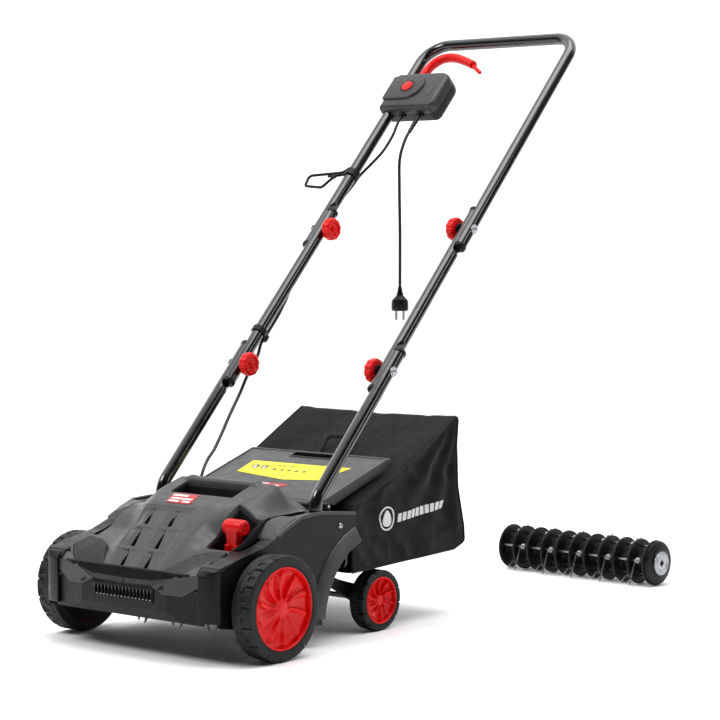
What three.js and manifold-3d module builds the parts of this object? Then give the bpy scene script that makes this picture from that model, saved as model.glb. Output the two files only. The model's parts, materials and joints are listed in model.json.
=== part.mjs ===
// Electric lawn dethatcher: wheeled deck, folding three-section handle, grass bag,
// a blade reel fitted inside and the interchangeable spring-tine reel beside it.
// Millimetres. +X is to the right when the machine is seen from the front, +Y is the rear
// (bag and handle), +Z is up and z = 0 is the ground.
import * as THREE from 'three';
import { mergeVertices } from 'three/addons/utils/BufferGeometryUtils.js';
import Module from 'manifold-3d';

const wasm = await Module();
wasm.setup();

// ---------------------------------------------------------------- driving dimensions
const GAP = 0.3;                 // clearance between pieces that touch
const DECK_HALF_WIDTH = 205;
const DECK_WALL = 4;
const HOOD_HALF_WIDTH = 161;
const HOOD_FRONT = -114;
const HOOD_REAR = 184;
const HOOD_WALL = 4;

const FRONT_WHEEL = { radius: 90, width: 42, face: 256, y: 0, rim: 71, lugs: 16 };
const REAR_WHEEL = { radius: 55, width: 34, face: 195, y: 335, rim: 43, lugs: 12 };
const AXLE_RADIUS = 6;
const CROSS_SHAFT = { y: -62, z: 112 };

const REEL = { y: 60, z: 80, shaft: 10, tip: 66, blades: 12, pitch: 29 };
const MOTOR = { y: 86, z: 201, radius: 35 };
const BELT_PLANE = -191;         // middle of the belt, between the chamber and side walls
const BELT_WIDTH = 10;

const TUBE_RADIUS = 12;
const TUBE_WALL = 1.2;
const OUTER_TUBE_X = 186.5;      // lower tubes and the legs of the upper handle
const MID_TUBE_X = 178;          // middle tubes run on the inner side
const OVERLAP = 46;              // how far a tube runs past its bolt
const PRESSED = 52;              // how far the flat pressed into a tube runs from its bolt
const LEAN_DEGREES = 46.5;
const LEAN = THREE.MathUtils.degToRad(LEAN_DEGREES);
const LOWER_JOINT = new THREE.Vector3(0, 363.5, 467.5);
const MID_LENGTH = 353;
const UPPER_LENGTH = 526;
const HANDLE_CORNER = 52;
const BOLT_RADIUS = 3;

const BAG = { front: 252, halfWidth: 190, wall: 3 };
const FLAP_HINGE = { y: 197, z: 238 };
const SPARE = { x: 115, y: 1100, radius: 46 };

// ---------------------------------------------------------------- materials
const BLACK = 0x1b1c1e;
const CHARCOAL = 0x2b2d30;
const RED = 0xd9140f;
function material(color, roughness, metalness) {
  return new THREE.MeshStandardMaterial({ color, roughness, metalness });
}
const blackPlastic = material(BLACK, 0.5, 0);
const greyPlastic = material(CHARCOAL, 0.48, 0);
const redPlastic = material(RED, 0.38, 0);
const glossPaint = material(0x0b0b0c, 0.22, 0.4);
const rubber = material(0x18191a, 0.75, 0);
const steel = material(0xb4b8bc, 0.32, 1);
const zinc = material(0x9da2a6, 0.35, 1);
const castAlloy = material(0x8a8d90, 0.5, 0.9);
const fabric = material(0x161719, 0.95, 0);
const cordSkin = material(0x101112, 0.6, 0);

// ---------------------------------------------------------------- solids
function signedVolume(position, index) {
  const a = new THREE.Vector3();
  const b = new THREE.Vector3();
  const c = new THREE.Vector3();
  let sum = 0;
  for (let i = 0; i < index.length; i += 3) {
    a.fromBufferAttribute(position, index[i]);
    b.fromBufferAttribute(position, index[i + 1]);
    c.fromBufferAttribute(position, index[i + 2]);
    sum += a.dot(b.cross(c)) / 6;
  }
  return sum;
}

// A closed three.js geometry becomes a manifold solid that faces out.
function solid(source) {
  const geometry = source.index ? source.toNonIndexed() : source.clone();
  geometry.deleteAttribute('normal');
  geometry.deleteAttribute('uv');
  const merged = mergeVertices(geometry, 1e-4);
  const index = merged.index.array;
  let triangles = [];
  for (let i = 0; i < index.length; i += 3) {
    const [a, b, c] = [index[i], index[i + 1], index[i + 2]];
    if (a !== b && b !== c && c !== a) triangles.push(a, b, c);
  }
  if (signedVolume(merged.attributes.position, triangles) < 0) triangles = triangles.reverse();
  return new wasm.Manifold(new wasm.Mesh({
    numProp: 3,
    vertProperties: new Float32Array(merged.attributes.position.array),
    triVerts: new Uint32Array(triangles),
  }));
}

function geometryOf(manifold) {
  const mesh = manifold.getMesh();
  const geometry = new THREE.BufferGeometry();
  geometry.setAttribute('position', new THREE.BufferAttribute(new Float32Array(mesh.vertProperties), 3));
  geometry.setIndex(new THREE.BufferAttribute(new Uint32Array(mesh.triVerts), 1));
  geometry.computeVertexNormals();
  return geometry;
}

function outline(points) {
  return new THREE.Shape(points.map(([u, v]) => new THREE.Vector2(u, v)));
}

// An outline in the YZ plane, from x0 to x1.
function alongX(points, x0, x1) {
  const geometry = new THREE.ExtrudeGeometry(outline(points), { depth: x1 - x0, bevelEnabled: false });
  const turn = new THREE.Matrix4().makeBasis(
    new THREE.Vector3(0, 1, 0), new THREE.Vector3(0, 0, 1), new THREE.Vector3(1, 0, 0));
  return solid(geometry.applyMatrix4(turn).translate(x0, 0, 0));
}

// An outline in the XY plane, from z0 to z1.
function alongZ(points, z0, z1) {
  const geometry = new THREE.ExtrudeGeometry(outline(points), { depth: z1 - z0, bevelEnabled: false });
  return solid(geometry.translate(0, 0, z0));
}

function box(x0, x1, y0, y1, z0, z1) {
  const geometry = new THREE.BoxGeometry(x1 - x0, y1 - y0, z1 - z0);
  return solid(geometry.translate((x0 + x1) / 2, (y0 + y1) / 2, (z0 + z1) / 2));
}

// A profile of [radius, x] pairs turned about an axis parallel to X through (y, z).
function turned(profile, segments, y = 0, z = 0) {
  const points = profile.map(([r, x]) => new THREE.Vector2(r, x));
  const geometry = new THREE.LatheGeometry(points, segments);
  const turn = new THREE.Matrix4().makeBasis(
    new THREE.Vector3(0, 0, 1), new THREE.Vector3(1, 0, 0), new THREE.Vector3(0, 1, 0));
  return solid(geometry.applyMatrix4(turn).translate(0, y, z));
}

function rod(radius, x0, x1, segments, y = 0, z = 0) {
  return turned([[0, x0], [radius, x0], [radius, x1], [0, x1]], segments, y, z);
}

function ring(inner, outer, x0, x1, segments, y = 0, z = 0) {
  return turned([[inner, x0], [outer, x0], [outer, x1], [inner, x1], [inner, x0]], segments, y, z);
}

// A route steps exactly through its points, so straight stretches need no extra steps.
class Route extends THREE.Curve {
  constructor(points) {
    super();
    this.points = points;
  }
  getPoint(t) {
    const last = this.points.length - 1;
    const at = Math.min(Math.max(t, 0), 1) * last;
    const i = Math.min(Math.floor(at), last - 1);
    return this.points[i].clone().lerp(this.points[i + 1], at - i);
  }
  getPointAt(u) {
    return this.getPoint(u);
  }
  getTangentAt(u) {
    const last = this.points.length - 1;
    const i = Math.round(u * last);
    const before = this.points[Math.max(i - 1, 0)];
    const after = this.points[Math.min(i + 1, last)];
    const here = this.points[i];
    const way = here.clone().sub(before).normalize().add(after.clone().sub(here).normalize());
    return way.normalize();
  }
}

function circle(radius, sides) {
  return new THREE.Shape(Array.from({ length: sides }, (_, i) => {
    const angle = (2 * Math.PI * i) / sides;
    return new THREE.Vector2(radius * Math.cos(angle), radius * Math.sin(angle));
  }));
}

function sweep(points, radius, sides) {
  return solid(new THREE.ExtrudeGeometry(circle(radius, sides), {
    steps: points.length - 1, extrudePath: new Route(points),
  }));
}

// Replaces the inner corners of a polyline with arcs of the given radius.
function rounded(points, radius, steps) {
  const result = [points[0]];
  for (let i = 1; i < points.length - 1; i += 1) {
    const into = points[i - 1].clone().sub(points[i]).normalize();
    const out = points[i + 1].clone().sub(points[i]).normalize();
    const half = into.angleTo(out) / 2;
    const reach = radius / Math.tan(half);
    const centre = into.clone().add(out).normalize().multiplyScalar(radius / Math.sin(half)).add(points[i]);
    const start = points[i].clone().addScaledVector(into, reach).sub(centre);
    const end = points[i].clone().addScaledVector(out, reach).sub(centre);
    const turn = start.angleTo(end);
    const axis = start.clone().cross(end).normalize();
    for (let k = 0; k <= steps; k += 1) {
      result.push(start.clone().applyAxisAngle(axis, (turn * k) / steps).add(centre));
    }
  }
  result.push(points[points.length - 1]);
  return result;
}

function smooth(points, count) {
  const curve = new THREE.CatmullRomCurve3(points, false, 'centripetal');
  return curve.getSpacedPoints(count);
}

// A hollow tube: the bore runs past both ends, so that it stays open.
function hollowTube(points, sides) {
  const bore = points.map((p) => p.clone());
  const last = points.length - 1;
  bore[0].addScaledVector(points[1].clone().sub(points[0]).normalize(), -1);
  bore[last].addScaledVector(points[last - 1].clone().sub(points[last]).normalize(), -1);
  return sweep(points, TUBE_RADIUS, sides).subtract(sweep(bore, TUBE_RADIUS - TUBE_WALL, sides));
}

function vec(x, y, z) {
  return new THREE.Vector3(x, y, z);
}

const machine = new THREE.Group();
function piece(name, manifold, look, parent = machine) {
  const mesh = new THREE.Mesh(geometryOf(manifold), look);
  mesh.name = name;
  parent.add(mesh);
  return mesh;
}

// A value read from a table of [y, value] pairs, eased between them.
function profileValue(table, y) {
  if (y <= table[0][0]) return table[0][1];
  for (let i = 1; i < table.length; i += 1) {
    if (y <= table[i][0]) {
      return THREE.MathUtils.mapLinear(y, table[i - 1][0], table[i][0], table[i - 1][1], table[i][1]);
    }
  }
  return table[table.length - 1][1];
}

// ---------------------------------------------------------------- deck
const REAR_ARCH = { y: 300, z: 35, radius: 146 };
function archPoints() {
  const points = [];
  for (const angle of [173, 158, 143, 128, 110]) {
    const a = THREE.MathUtils.degToRad(angle);
    points.push([REAR_ARCH.y + REAR_ARCH.radius * Math.cos(a), REAR_ARCH.z + REAR_ARCH.radius * Math.sin(a)]);
  }
  return points;
}

function deckShell() {
  const side = [[-119, 68], [-72, 59], [156, 36], ...archPoints(), [250, 222], [186, 228], [150, 231],
    [105, 229], [72, 217], [44, 203], [0, 187], [-50, 177], [-104, 165], [-119, 150], [-125, 122], [-125, 84]];
  const narrow = [[130, 60], [240, 88], [322, 42], [348, 42], [352, 72], [262, 98], [249, 103], [249, 200],
    [140, 200]];
  const insideX = DECK_HALF_WIDTH - DECK_WALL;
  let deck = alongX(side, -DECK_HALF_WIDTH, DECK_HALF_WIDTH).add(alongX(narrow, -156, 156));

  // the front corners sweep back in plan
  for (const s of [-1, 1]) {
    deck = deck.subtract(alongZ([[s * 90, -127], [s * 207, -127], [s * 207, -107]], 20, 300));
  }
  // nose chamber in front of the reel, open below
  deck = deck.subtract(alongX([[-112, 40], [-32, 40], [-32, 158], [-100, 146], [-112, 130]], -insideX, insideX));
  // reel chamber, open below, with its chute to the rear mouth
  deck = deck.subtract(alongX([[-24, 30], [-24, 96], [6, 144], [60, 156], [130, 160], [262, 208], [262, 108],
    [236, 104], [150, 66], [150, 30]], -178, 178));
  // belt space on the left and lever linkage space on the right
  for (const s of [-1, 1]) {
    const x = [s * 182, s * insideX].sort((a, b) => a - b);
    deck = deck.subtract(alongX([[-24, 30], [-24, 172], [44, 196], [72, 213], [95, 223], [140, 226], [140, 30]],
      ...x));
  }
  // motor bay, closed above by the hood
  deck = deck.subtract(alongX([[-26, 110], [2, 150], [60, 162], [130, 166], [180, 184], [180, 260], [-26, 260]],
    -insideX + 23, insideX - 23));
  deck = deck.subtract(alongX([[HOOD_FRONT - 3, 122], [-32, 122], [-26, 150], [2, 164], [60, 174], [130, 179],
    [HOOD_REAR + 1, 190], [HOOD_REAR + 1, 300], [HOOD_FRONT - 3, 300]], -HOOD_HALF_WIDTH - 1, HOOD_HALF_WIDTH + 1));
  // between the rear axle brackets
  deck = deck.subtract(alongX([[150, 20], [360, 20], [360, 120], [254, 120], [254, 98], [236, 100], [150, 62]],
    -147, 147));
  // grille opening, tube sockets, bearing seats, axle holes
  deck = deck.subtract(box(-72, 72, -128, -108, 96, 120));
  for (const s of [-1, 1]) {
    const socket = new THREE.CylinderGeometry(16, 16, 70, 14).rotateX(Math.PI / 2);
    const bore = new THREE.CylinderGeometry(TUBE_RADIUS + GAP, TUBE_RADIUS + GAP, 120, 12).rotateX(Math.PI / 2);
    deck = deck.add(solid(socket.translate(s * OUTER_TUBE_X, 160, 195)));
    deck = deck.subtract(solid(bore.translate(s * OUTER_TUBE_X, 160, 216)));
  }
  deck = deck.subtract(rod(16, -184, -176, 20, REEL.y, REEL.z)).subtract(rod(16, 176, 184, 20, REEL.y, REEL.z));
  deck = deck.subtract(rod(AXLE_RADIUS + GAP, -230, 230, 16, CROSS_SHAFT.y, CROSS_SHAFT.z));
  deck = deck.subtract(rod(5 + GAP, -170, 170, 14, REAR_WHEEL.y, REAR_WHEEL.radius));
  // motor shaft slot and belt slots through the left chamber wall
  deck = deck.subtract(rod(9, -184, -174, 16, MOTOR.y, MOTOR.z));
  // flap hinge lugs
  for (const s of [-1, 1]) {
    const x = [s * 176, s * 183].sort((a, b) => a - b);
    const lug = [[188, 222], [206, 222], [204, 243], [190, 243]];
    deck = deck.add(alongX(lug, ...x)).subtract(rod(3 + GAP, x[0] - 1, x[1] + 1, 12, FLAP_HINGE.y, FLAP_HINGE.z));
  }
  return deck;
}

// ---------------------------------------------------------------- hood
const CROWN = [[-114, 139], [-80, 164], [-40, 193], [0, 219], [40, 243], [90, 262], [138, 278], [160, 262],
  [184, 244]];
const SKIRT = [[-114, 130], [-90, 150], [-50, 172], [0, 190], [32, 214], [60, 229], [150, 232], [184, 230]];
const TOP_WIDTH = [[-114, 57], [0, 66], [40, 92], [80, 108], [184, 110]];
const FLANK = [[-114, 40], [0, 52], [60, 50], [184, 48]];

function hoodHeight(x, y) {
  const across = (Math.abs(x) - profileValue(TOP_WIDTH, y)) / profileValue(FLANK, y);
  const fall = THREE.MathUtils.smoothstep(across, 0, 1);
  return THREE.MathUtils.lerp(profileValue(CROWN, y), profileValue(SKIRT, y), fall);
}

// The solid between a flat bottom and the hood surface lowered by drop.
function underHood(halfWidth, front, rear, bottom, drop) {
  const columns = 14;
  const rows = 11;
  const geometry = new THREE.BoxGeometry(2 * halfWidth, rear - front, 1, columns, rows, 1);
  const position = geometry.attributes.position;
  for (let i = 0; i < position.count; i += 1) {
    const x = position.getX(i);
    const y = position.getY(i) + (front + rear) / 2;
    position.setY(i, y);
    position.setZ(i, position.getZ(i) > 0 ? hoodHeight(x, y) - drop : bottom);
  }
  return solid(geometry);
}

const LEVER_WELL = { x0: 112, x1: 158, y0: -26, y1: 50, floor: 166 };
const CABLE_ENTRY = { x: -94, y: 161 };
const HAND_WELL = { halfWidth: 70, y0: 62, y1: 120, floor: 246 };

function motorHood() {
  const outer = underHood(HOOD_HALF_WIDTH, HOOD_FRONT, HOOD_REAR, 124, 0);
  const inner = underHood(HOOD_HALF_WIDTH - HOOD_WALL, HOOD_FRONT + HOOD_WALL, HOOD_REAR - HOOD_WALL, 100, HOOD_WALL);
  let hood = outer.subtract(inner);
  // the skirt stays above the partition over the reel, with room for the motor shaft
  hood = hood.subtract(alongX([[-36, 100], [-36, 138], [-24, 158], [4, 168], [60, 176], [130, 181], [190, 194],
    [190, 100]], -HOOD_HALF_WIDTH - 1, HOOD_HALF_WIDTH + 1));
  hood = hood.subtract(rod(9, -HOOD_HALF_WIDTH - 1, -150, 16, MOTOR.y, MOTOR.z));
  hood = hood.subtract(solid(new THREE.CylinderGeometry(4.5, 4.5, 60, 12).rotateX(Math.PI / 2)
    .translate(CABLE_ENTRY.x, CABLE_ENTRY.y, 262)));
  const wall = 3;
  const lever = LEVER_WELL;
  const leverTub = box(lever.x0 - wall, HOOD_HALF_WIDTH, lever.y0 - wall, lever.y1 + wall, lever.floor - wall, 300);
  hood = hood.add(outer.intersect(leverTub));
  hood = hood.subtract(box(lever.x0, lever.x1, lever.y0, lever.y1, lever.floor, 300));
  const hand = HAND_WELL;
  const handTub = box(-hand.halfWidth - wall, hand.halfWidth + wall, hand.y0 - wall, hand.y1 + wall,
    hand.floor - wall, 300);
  hood = hood.add(outer.intersect(handTub));
  hood = hood.subtract(box(-hand.halfWidth, hand.halfWidth, hand.y0, hand.y1, hand.floor, 300));
  // two columns of louvred pockets on the tongue
  for (const x of [-33, 33]) {
    for (const y of [-86, -48, -10]) {
      const z = hoodHeight(0, y);
      const pocket = new THREE.BoxGeometry(48, 30, 3).rotateX(0.62).translate(x, y, z);
      hood = hood.subtract(solid(pocket));
    }
  }
  // the lever pin is seated across the well
  return hood.subtract(rod(2.5 + GAP, lever.x0 - wall - 1, HOOD_HALF_WIDTH + 1, 12, LEVER_PIN.y, LEVER_PIN.z));
}

const LEVER_PIN = { y: 12, z: 176 };
function heightLever() {
  const foot = [[4, 171], [20, 171], [24, 184], [24, 202], [6, 202], [0, 184]];
  const grip = turned([[0, 117], [8.5, 117], [9.5, 121], [9.5, 149], [8.5, 153], [0, 153]], 20, 15, 214);
  const pin = rod(2.5, 112.5, 157.5, 12, LEVER_PIN.y, LEVER_PIN.z);
  const neck = alongX([[6, 200], [24, 200], [24, 216], [6, 216]], 124, 148);
  return alongX(foot, 126, 146).add(neck).add(grip).add(pin);
}

function frontGrille() {
  let grille = box(-71.7, 71.7, -127, -121, 96.3, 119.7);
  const bars = 16;
  for (let i = 0; i < bars; i += 1) {
    const x = -63.75 + i * 8.5;
    grille = grille.subtract(box(x - 2.6, x + 2.6, -130, -118, 99.5, 116.5));
  }
  return grille;
}

piece('deck_shell', deckShell(), blackPlastic);
piece('motor_hood', motorHood(), greyPlastic);
piece('front_grille', frontGrille(), blackPlastic);
piece('height_lever', heightLever(), redPlastic);

// ---------------------------------------------------------------- wheels and axles
// The tread is a gear-like outline over a round bore; one flat lug stands on the ground.
const RIM_SIDES = 24;
function tyre(wheel, side) {
  const groove = 3;
  const halfLug = 0.28;
  const edge = wheel.radius / Math.cos((2 * Math.PI * halfLug) / wheel.lugs);
  const points = [];
  for (let i = 0; i < wheel.lugs; i += 1) {
    for (const [part, r] of [[-halfLug, edge], [halfLug, edge], [0.36, edge - groove], [0.64, edge - groove]]) {
      const angle = (2 * Math.PI * (i + part)) / wheel.lugs - Math.PI / 2;
      points.push([r * Math.cos(angle), r * Math.sin(angle)]);
    }
  }
  const inner = side > 0 ? wheel.face - wheel.width : -wheel.face;
  const tread = alongX(points.map(([u, v]) => [u + wheel.y, v + wheel.radius]), inner, inner + wheel.width);
  const bore = rod(wheel.rim + GAP, inner - 1, inner + wheel.width + 1, RIM_SIDES, wheel.y, wheel.radius);
  return tread.subtract(bore);
}

function wheelHub(wheel, side, axleRadius) {
  const { rim, face, width, radius } = wheel;
  const half = [[axleRadius + GAP, face - width + 2], [axleRadius + 9, face - width + 2],
    [axleRadius + 9, face - 16], [rim - 7, face - 18], [rim - 6, face - width + 3], [rim, face - width + 3],
    [rim, face - 2], [rim - 5, face - 2], [rim - 9, face - 9],
    [0, face - 4], [0, face - 10], [axleRadius + GAP, face - 10], [axleRadius + GAP, face - width + 2]];
  let hub = turned(half, RIM_SIDES);
  const spokes = 10;
  for (let i = 0; i < spokes; i += 1) {
    const rib = new THREE.BoxGeometry(6, rim - radius * 0.2 - 2, 6)
      .translate(face - 8, (rim + radius * 0.2) / 2 - 2, 0);
    hub = hub.add(solid(rib.rotateX((2 * Math.PI * i) / spokes)));
  }
  const placed = hub.translate(0, wheel.y, radius);
  return side > 0 ? placed : placed.mirror([1, 0, 0]);
}

for (const [side, label] of [[-1, 'left'], [1, 'right']]) {
  piece(`front_tyre_${label}`, tyre(FRONT_WHEEL, side), rubber);
  piece(`front_wheel_${label}`, wheelHub(FRONT_WHEEL, side, AXLE_RADIUS), redPlastic);
  piece(`rear_tyre_${label}`, tyre(REAR_WHEEL, side), rubber);
  piece(`rear_wheel_${label}`, wheelHub(REAR_WHEEL, side, 5), redPlastic);
}

// The front axle is cranked: its cross shaft turns in the deck and its stubs carry the wheels.
function frontAxle() {
  let axle = rod(AXLE_RADIUS, -212, 212, 16, CROSS_SHAFT.y, CROSS_SHAFT.z);
  for (const s of [-1, 1]) {
    const x = [s * 207, s * 212].sort((a, b) => a - b);
    const arm = [[-72, 104], [-4, 81], [9, 88], [6, 99], [-56, 122], [-70, 118]];
    axle = axle.add(alongX(arm, ...x));
    const stub = [s * 207, s * 245.5].sort((a, b) => a - b);
    axle = axle.add(rod(AXLE_RADIUS, ...stub, 16, FRONT_WHEEL.y, FRONT_WHEEL.radius));
  }
  return axle;
}
piece('front_axle', frontAxle(), zinc);
piece('rear_axle', rod(5, -184.5, 184.5, 16, REAR_WHEEL.y, REAR_WHEEL.radius), zinc);

// ---------------------------------------------------------------- drive and blade reel
function bladeReel() {
  let reel = rod(REEL.shaft, -198, 182, 12);
  for (let i = 0; i < REEL.blades; i += 1) {
    const x = (i - (REEL.blades - 1) / 2) * REEL.pitch;
    const turn = (i * 2 * Math.PI) / 9;
    const points = [];
    for (let k = 0; k < 9; k += 1) {
      const r = [22, REEL.tip, 30][k % 3];
      const angle = turn + (2 * Math.PI * (k + (k % 3 === 2 ? -0.35 : 0))) / 9;
      points.push([r * Math.cos(angle), r * Math.sin(angle)]);
    }
    reel = reel.add(alongX(points, x - 1.2, x + 1.2));
  }
  return reel.translate(0, REEL.y, REEL.z);
}

function pulley(radius, bore, y, z) {
  const x = BELT_PLANE;
  const w = BELT_WIDTH / 2;
  return turned([[bore, x - w - 1], [radius + 2, x - w - 1], [radius + 2, x - w + 0.6], [radius, x - w + 0.9],
    [radius, x + w - 0.9], [radius + 2, x + w - 0.6], [radius + 2, x + w + 1], [bore, x + w + 1],
    [bore, x - w - 1]], 16, y, z);
}

const MOTOR_PULLEY = 11;
const REEL_PULLEY = 24;
function driveBelt() {
  const from = new THREE.Vector2(MOTOR.y, MOTOR.z);
  const to = new THREE.Vector2(REEL.y, REEL.z);
  const heading = Math.atan2(to.y - from.y, to.x - from.x);
  const slant = Math.acos((MOTOR_PULLEY - REEL_PULLEY) / from.distanceTo(to));
  function loop(extra) {
    const points = [];
    const steps = 8;
    for (let i = 0; i <= steps; i += 1) {
      const a = heading + slant + ((2 * Math.PI - 2 * slant) * i) / steps;
      const r = MOTOR_PULLEY + extra;
      points.push([from.x + r * Math.cos(a), from.y + r * Math.sin(a)]);
    }
    for (let i = 0; i <= steps; i += 1) {
      const a = heading - slant + (2 * slant * i) / steps;
      const r = REEL_PULLEY + extra;
      points.push([to.x + r * Math.cos(a), to.y + r * Math.sin(a)]);
    }
    return points;
  }
  const w = BELT_WIDTH / 2 - 1.2;
  const inside = alongX(loop(1), BELT_PLANE - w - 1, BELT_PLANE + w + 1);
  return alongX(loop(3.8), BELT_PLANE - w, BELT_PLANE + w).subtract(inside);
}

function bearing(side) {
  const x = [side * 176.4, side * 184].sort((a, b) => a - b);
  return ring(REEL.shaft + GAP, 15.7, ...x, 16, REEL.y, REEL.z);
}

function motorBody() {
  const r = MOTOR.radius;
  const can = turned([[6, -148], [24, -148], [26, -120], [r, -116], [r, 40], [30, 52], [0, 52], [0, 46],
    [6, 46], [6, -148]], 24, MOTOR.y, MOTOR.z);
  const foot = alongX([[MOTOR.y - 26, 165.4], [MOTOR.y + 24, 165.4], [MOTOR.y + 24, 176], [MOTOR.y - 26, 176]], -100, 20);
  return can.add(foot);
}

piece('blade_reel', bladeReel(), steel);
piece('reel_bearing_left', bearing(-1), steel);
piece('reel_bearing_right', bearing(1), steel);
piece('reel_pulley', pulley(REEL_PULLEY, REEL.shaft + GAP, REEL.y, REEL.z), castAlloy);
piece('motor_body', motorBody(), castAlloy);
const motorPulley = pulley(MOTOR_PULLEY, 0.5, MOTOR.y, MOTOR.z);
piece('motor_shaft', rod(5.5, -197, 40, 14, MOTOR.y, MOTOR.z).add(motorPulley), steel);
piece('drive_belt', driveBelt(), rubber);

// ---------------------------------------------------------------- rear flap
const FLAP_RISE = Math.atan2(66, 200);
function rearFlap() {
  // flap plane: u runs rearward from the hinge, v up from it
  const halfWidth = 170;
  const sheet = [[-6, -2], [10, 4], [205, 4], [208, 1], [208, -9], [204, -9], [204, 0], [10, 0], [4, -5]];
  let flap = alongX(sheet, -halfWidth, halfWidth);
  for (const s of [-1, 1]) {
    const x = [s * (halfWidth - 4), s * halfWidth].sort((a, b) => a - b);
    flap = flap.add(alongX([[12, 2], [206, 2], [206, -10], [30, -12]], ...x));
  }
  const knuckle = rod(6, -halfWidth, halfWidth, 16);
  const grip = box(-52, 52, 182, 199, -30, 30);
  flap = flap.subtract(grip).add(knuckle);
  const bore = rod(3 + GAP, -halfWidth - 1, halfWidth + 1, 12);
  const geometry = geometryOf(flap.subtract(bore)).rotateX(FLAP_RISE);
  return solid(geometry.translate(0, FLAP_HINGE.y, FLAP_HINGE.z));
}
piece('rear_flap', rearFlap(), greyPlastic);
piece('flap_hinge_pin', rod(3, -186, 186, 12, FLAP_HINGE.y, FLAP_HINGE.z), zinc);

// ---------------------------------------------------------------- grass bag
const BAG_SIDE = [[252, 112], [345, 114], [440, 116], [560, 122], [592, 134], [588, 170], [574, 240], [571, 381],
  [392, 287], [262, 236], [252, 226]];
function insetBag(points, inset) {
  const middle = new THREE.Vector2(410, 200);
  return points.map(([y, z]) => {
    const p = new THREE.Vector2(y, z).sub(middle);
    p.setLength(p.length() - inset * 1.25);
    return [p.x + middle.x, p.y + middle.y];
  });
}

function grassBag() {
  const inner = insetBag(BAG_SIDE, BAG.wall);
  let bag = alongX(BAG_SIDE, -BAG.halfWidth, BAG.halfWidth);
  bag = bag.subtract(alongX(inner, -BAG.halfWidth + BAG.wall, BAG.halfWidth - BAG.wall));
  return bag.subtract(box(-168, 168, 240, 275, 118, 221));
}

// A wire hoop holds the mouth of the bag open, just inside it.
function bagFrame() {
  const y = 262;
  const corners = [vec(0, y, 121), vec(-172, y, 121), vec(-172, y, 224), vec(172, y, 224), vec(172, y, 121),
    vec(4, y, 121)];
  return sweep(rounded(corners, 10, 3), 2.2, 8);
}
piece('grass_bag', grassBag(), fabric);
piece('bag_frame', bagFrame(), zinc);

function bagStrap() {
  const points = [vec(-30, 438, 316), vec(-30, 452, 337), vec(30, 452, 337), vec(30, 438, 316)];
  return sweep(rounded(points, 8, 3), 3, 8);
}
piece('bag_carry_loop', bagStrap(), blackPlastic);

// ---------------------------------------------------------------- handle
const up = vec(0, Math.cos(LEAN), Math.sin(LEAN));
function lowerTubePoints(x) {
  const bend = vec(x, 160, LOWER_JOINT.z - (LOWER_JOINT.y - 160) * Math.tan(LEAN));
  const top = LOWER_JOINT.clone().addScaledVector(up, OVERLAP).setX(x);
  return rounded([vec(x, 160, 158), bend, top], 45, 4);
}

// At a joint the two tubes are pressed flat where they face each other, and bolted through.
// The tube runs along y at the given x; it ends at y + reach.
const CONTACT_X = (OUTER_TUBE_X + MID_TUBE_X) / 2;
function pressedJoint(tube, x, y, reach) {
  const side = Math.sign(x);
  const toContact = Math.sign(CONTACT_X - Math.abs(x));
  const face = CONTACT_X - (toContact * GAP) / 2;
  const wall = TUBE_WALL * toContact;
  const block = (from, halfLength) => {
    const edges = [side * from, side * (face + toContact * 2 * TUBE_RADIUS)].sort((a, b) => a - b);
    return box(...edges, y - halfLength, y + halfLength, -2 * TUBE_RADIUS, 2 * TUBE_RADIUS);
  };
  const cut = block(face, PRESSED);
  const away = -Math.sign(reach) * (PRESSED + TUBE_WALL);
  const round = new THREE.CylinderGeometry(TUBE_RADIUS, TUBE_RADIUS, Math.abs(reach - away), 12);
  const lining = solid(round.translate(x, y + (reach + away) / 2, 0))
    .intersect(block(face - wall, PRESSED + TUBE_WALL));
  return tube.add(lining).subtract(cut).subtract(boltHole(x, y));
}

function lowerTube(x) {
  const level = hollowTube(lowerTubePoints(x), 12)
    .translate(0, -LOWER_JOINT.y, -LOWER_JOINT.z).rotate(-LEAN_DEGREES, 0, 0);
  return pressedJoint(level, x, 0, OVERLAP)
    .rotate(LEAN_DEGREES, 0, 0).translate(0, LOWER_JOINT.y, LOWER_JOINT.z);
}

// Frames along the handle: local x is across, y runs up the tubes and z is the upper side.
function handleFrame(origin) {
  const frame = new THREE.Group();
  frame.position.copy(origin);
  frame.rotation.x = LEAN;
  machine.add(frame);
  return frame;
}
const midFrame = handleFrame(LOWER_JOINT);
const UPPER_JOINT = LOWER_JOINT.clone().addScaledVector(up, MID_LENGTH);
const upperFrame = handleFrame(UPPER_JOINT);

function boltHole(x, y) {
  return rod(BOLT_RADIUS + GAP, x - 20, x + 20, 8, y, 0);
}

function midTube(x) {
  const tube = hollowTube([vec(x, -OVERLAP, 0), vec(x, MID_LENGTH + OVERLAP, 0)], 12);
  return pressedJoint(pressedJoint(tube, x, 0, -OVERLAP), x, MID_LENGTH, OVERLAP);
}

function upperHandle() {
  const x = OUTER_TUBE_X;
  const corners = [vec(-x, -OVERLAP, 0), vec(-x, UPPER_LENGTH, 0), vec(x, UPPER_LENGTH, 0), vec(x, -OVERLAP, 0)];
  const tube = hollowTube(rounded(corners, HANDLE_CORNER, 5), 12);
  return pressedJoint(pressedJoint(tube, -x, 0, -OVERLAP), x, 0, -OVERLAP);
}

piece('lower_tube_left', lowerTube(-OUTER_TUBE_X), glossPaint);
piece('lower_tube_right', lowerTube(OUTER_TUBE_X), glossPaint);
piece('mid_tube_left', midTube(-MID_TUBE_X), glossPaint, midFrame);
piece('mid_tube_right', midTube(MID_TUBE_X), glossPaint, midFrame);
piece('upper_handle', upperHandle(), glossPaint, upperFrame);

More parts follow.
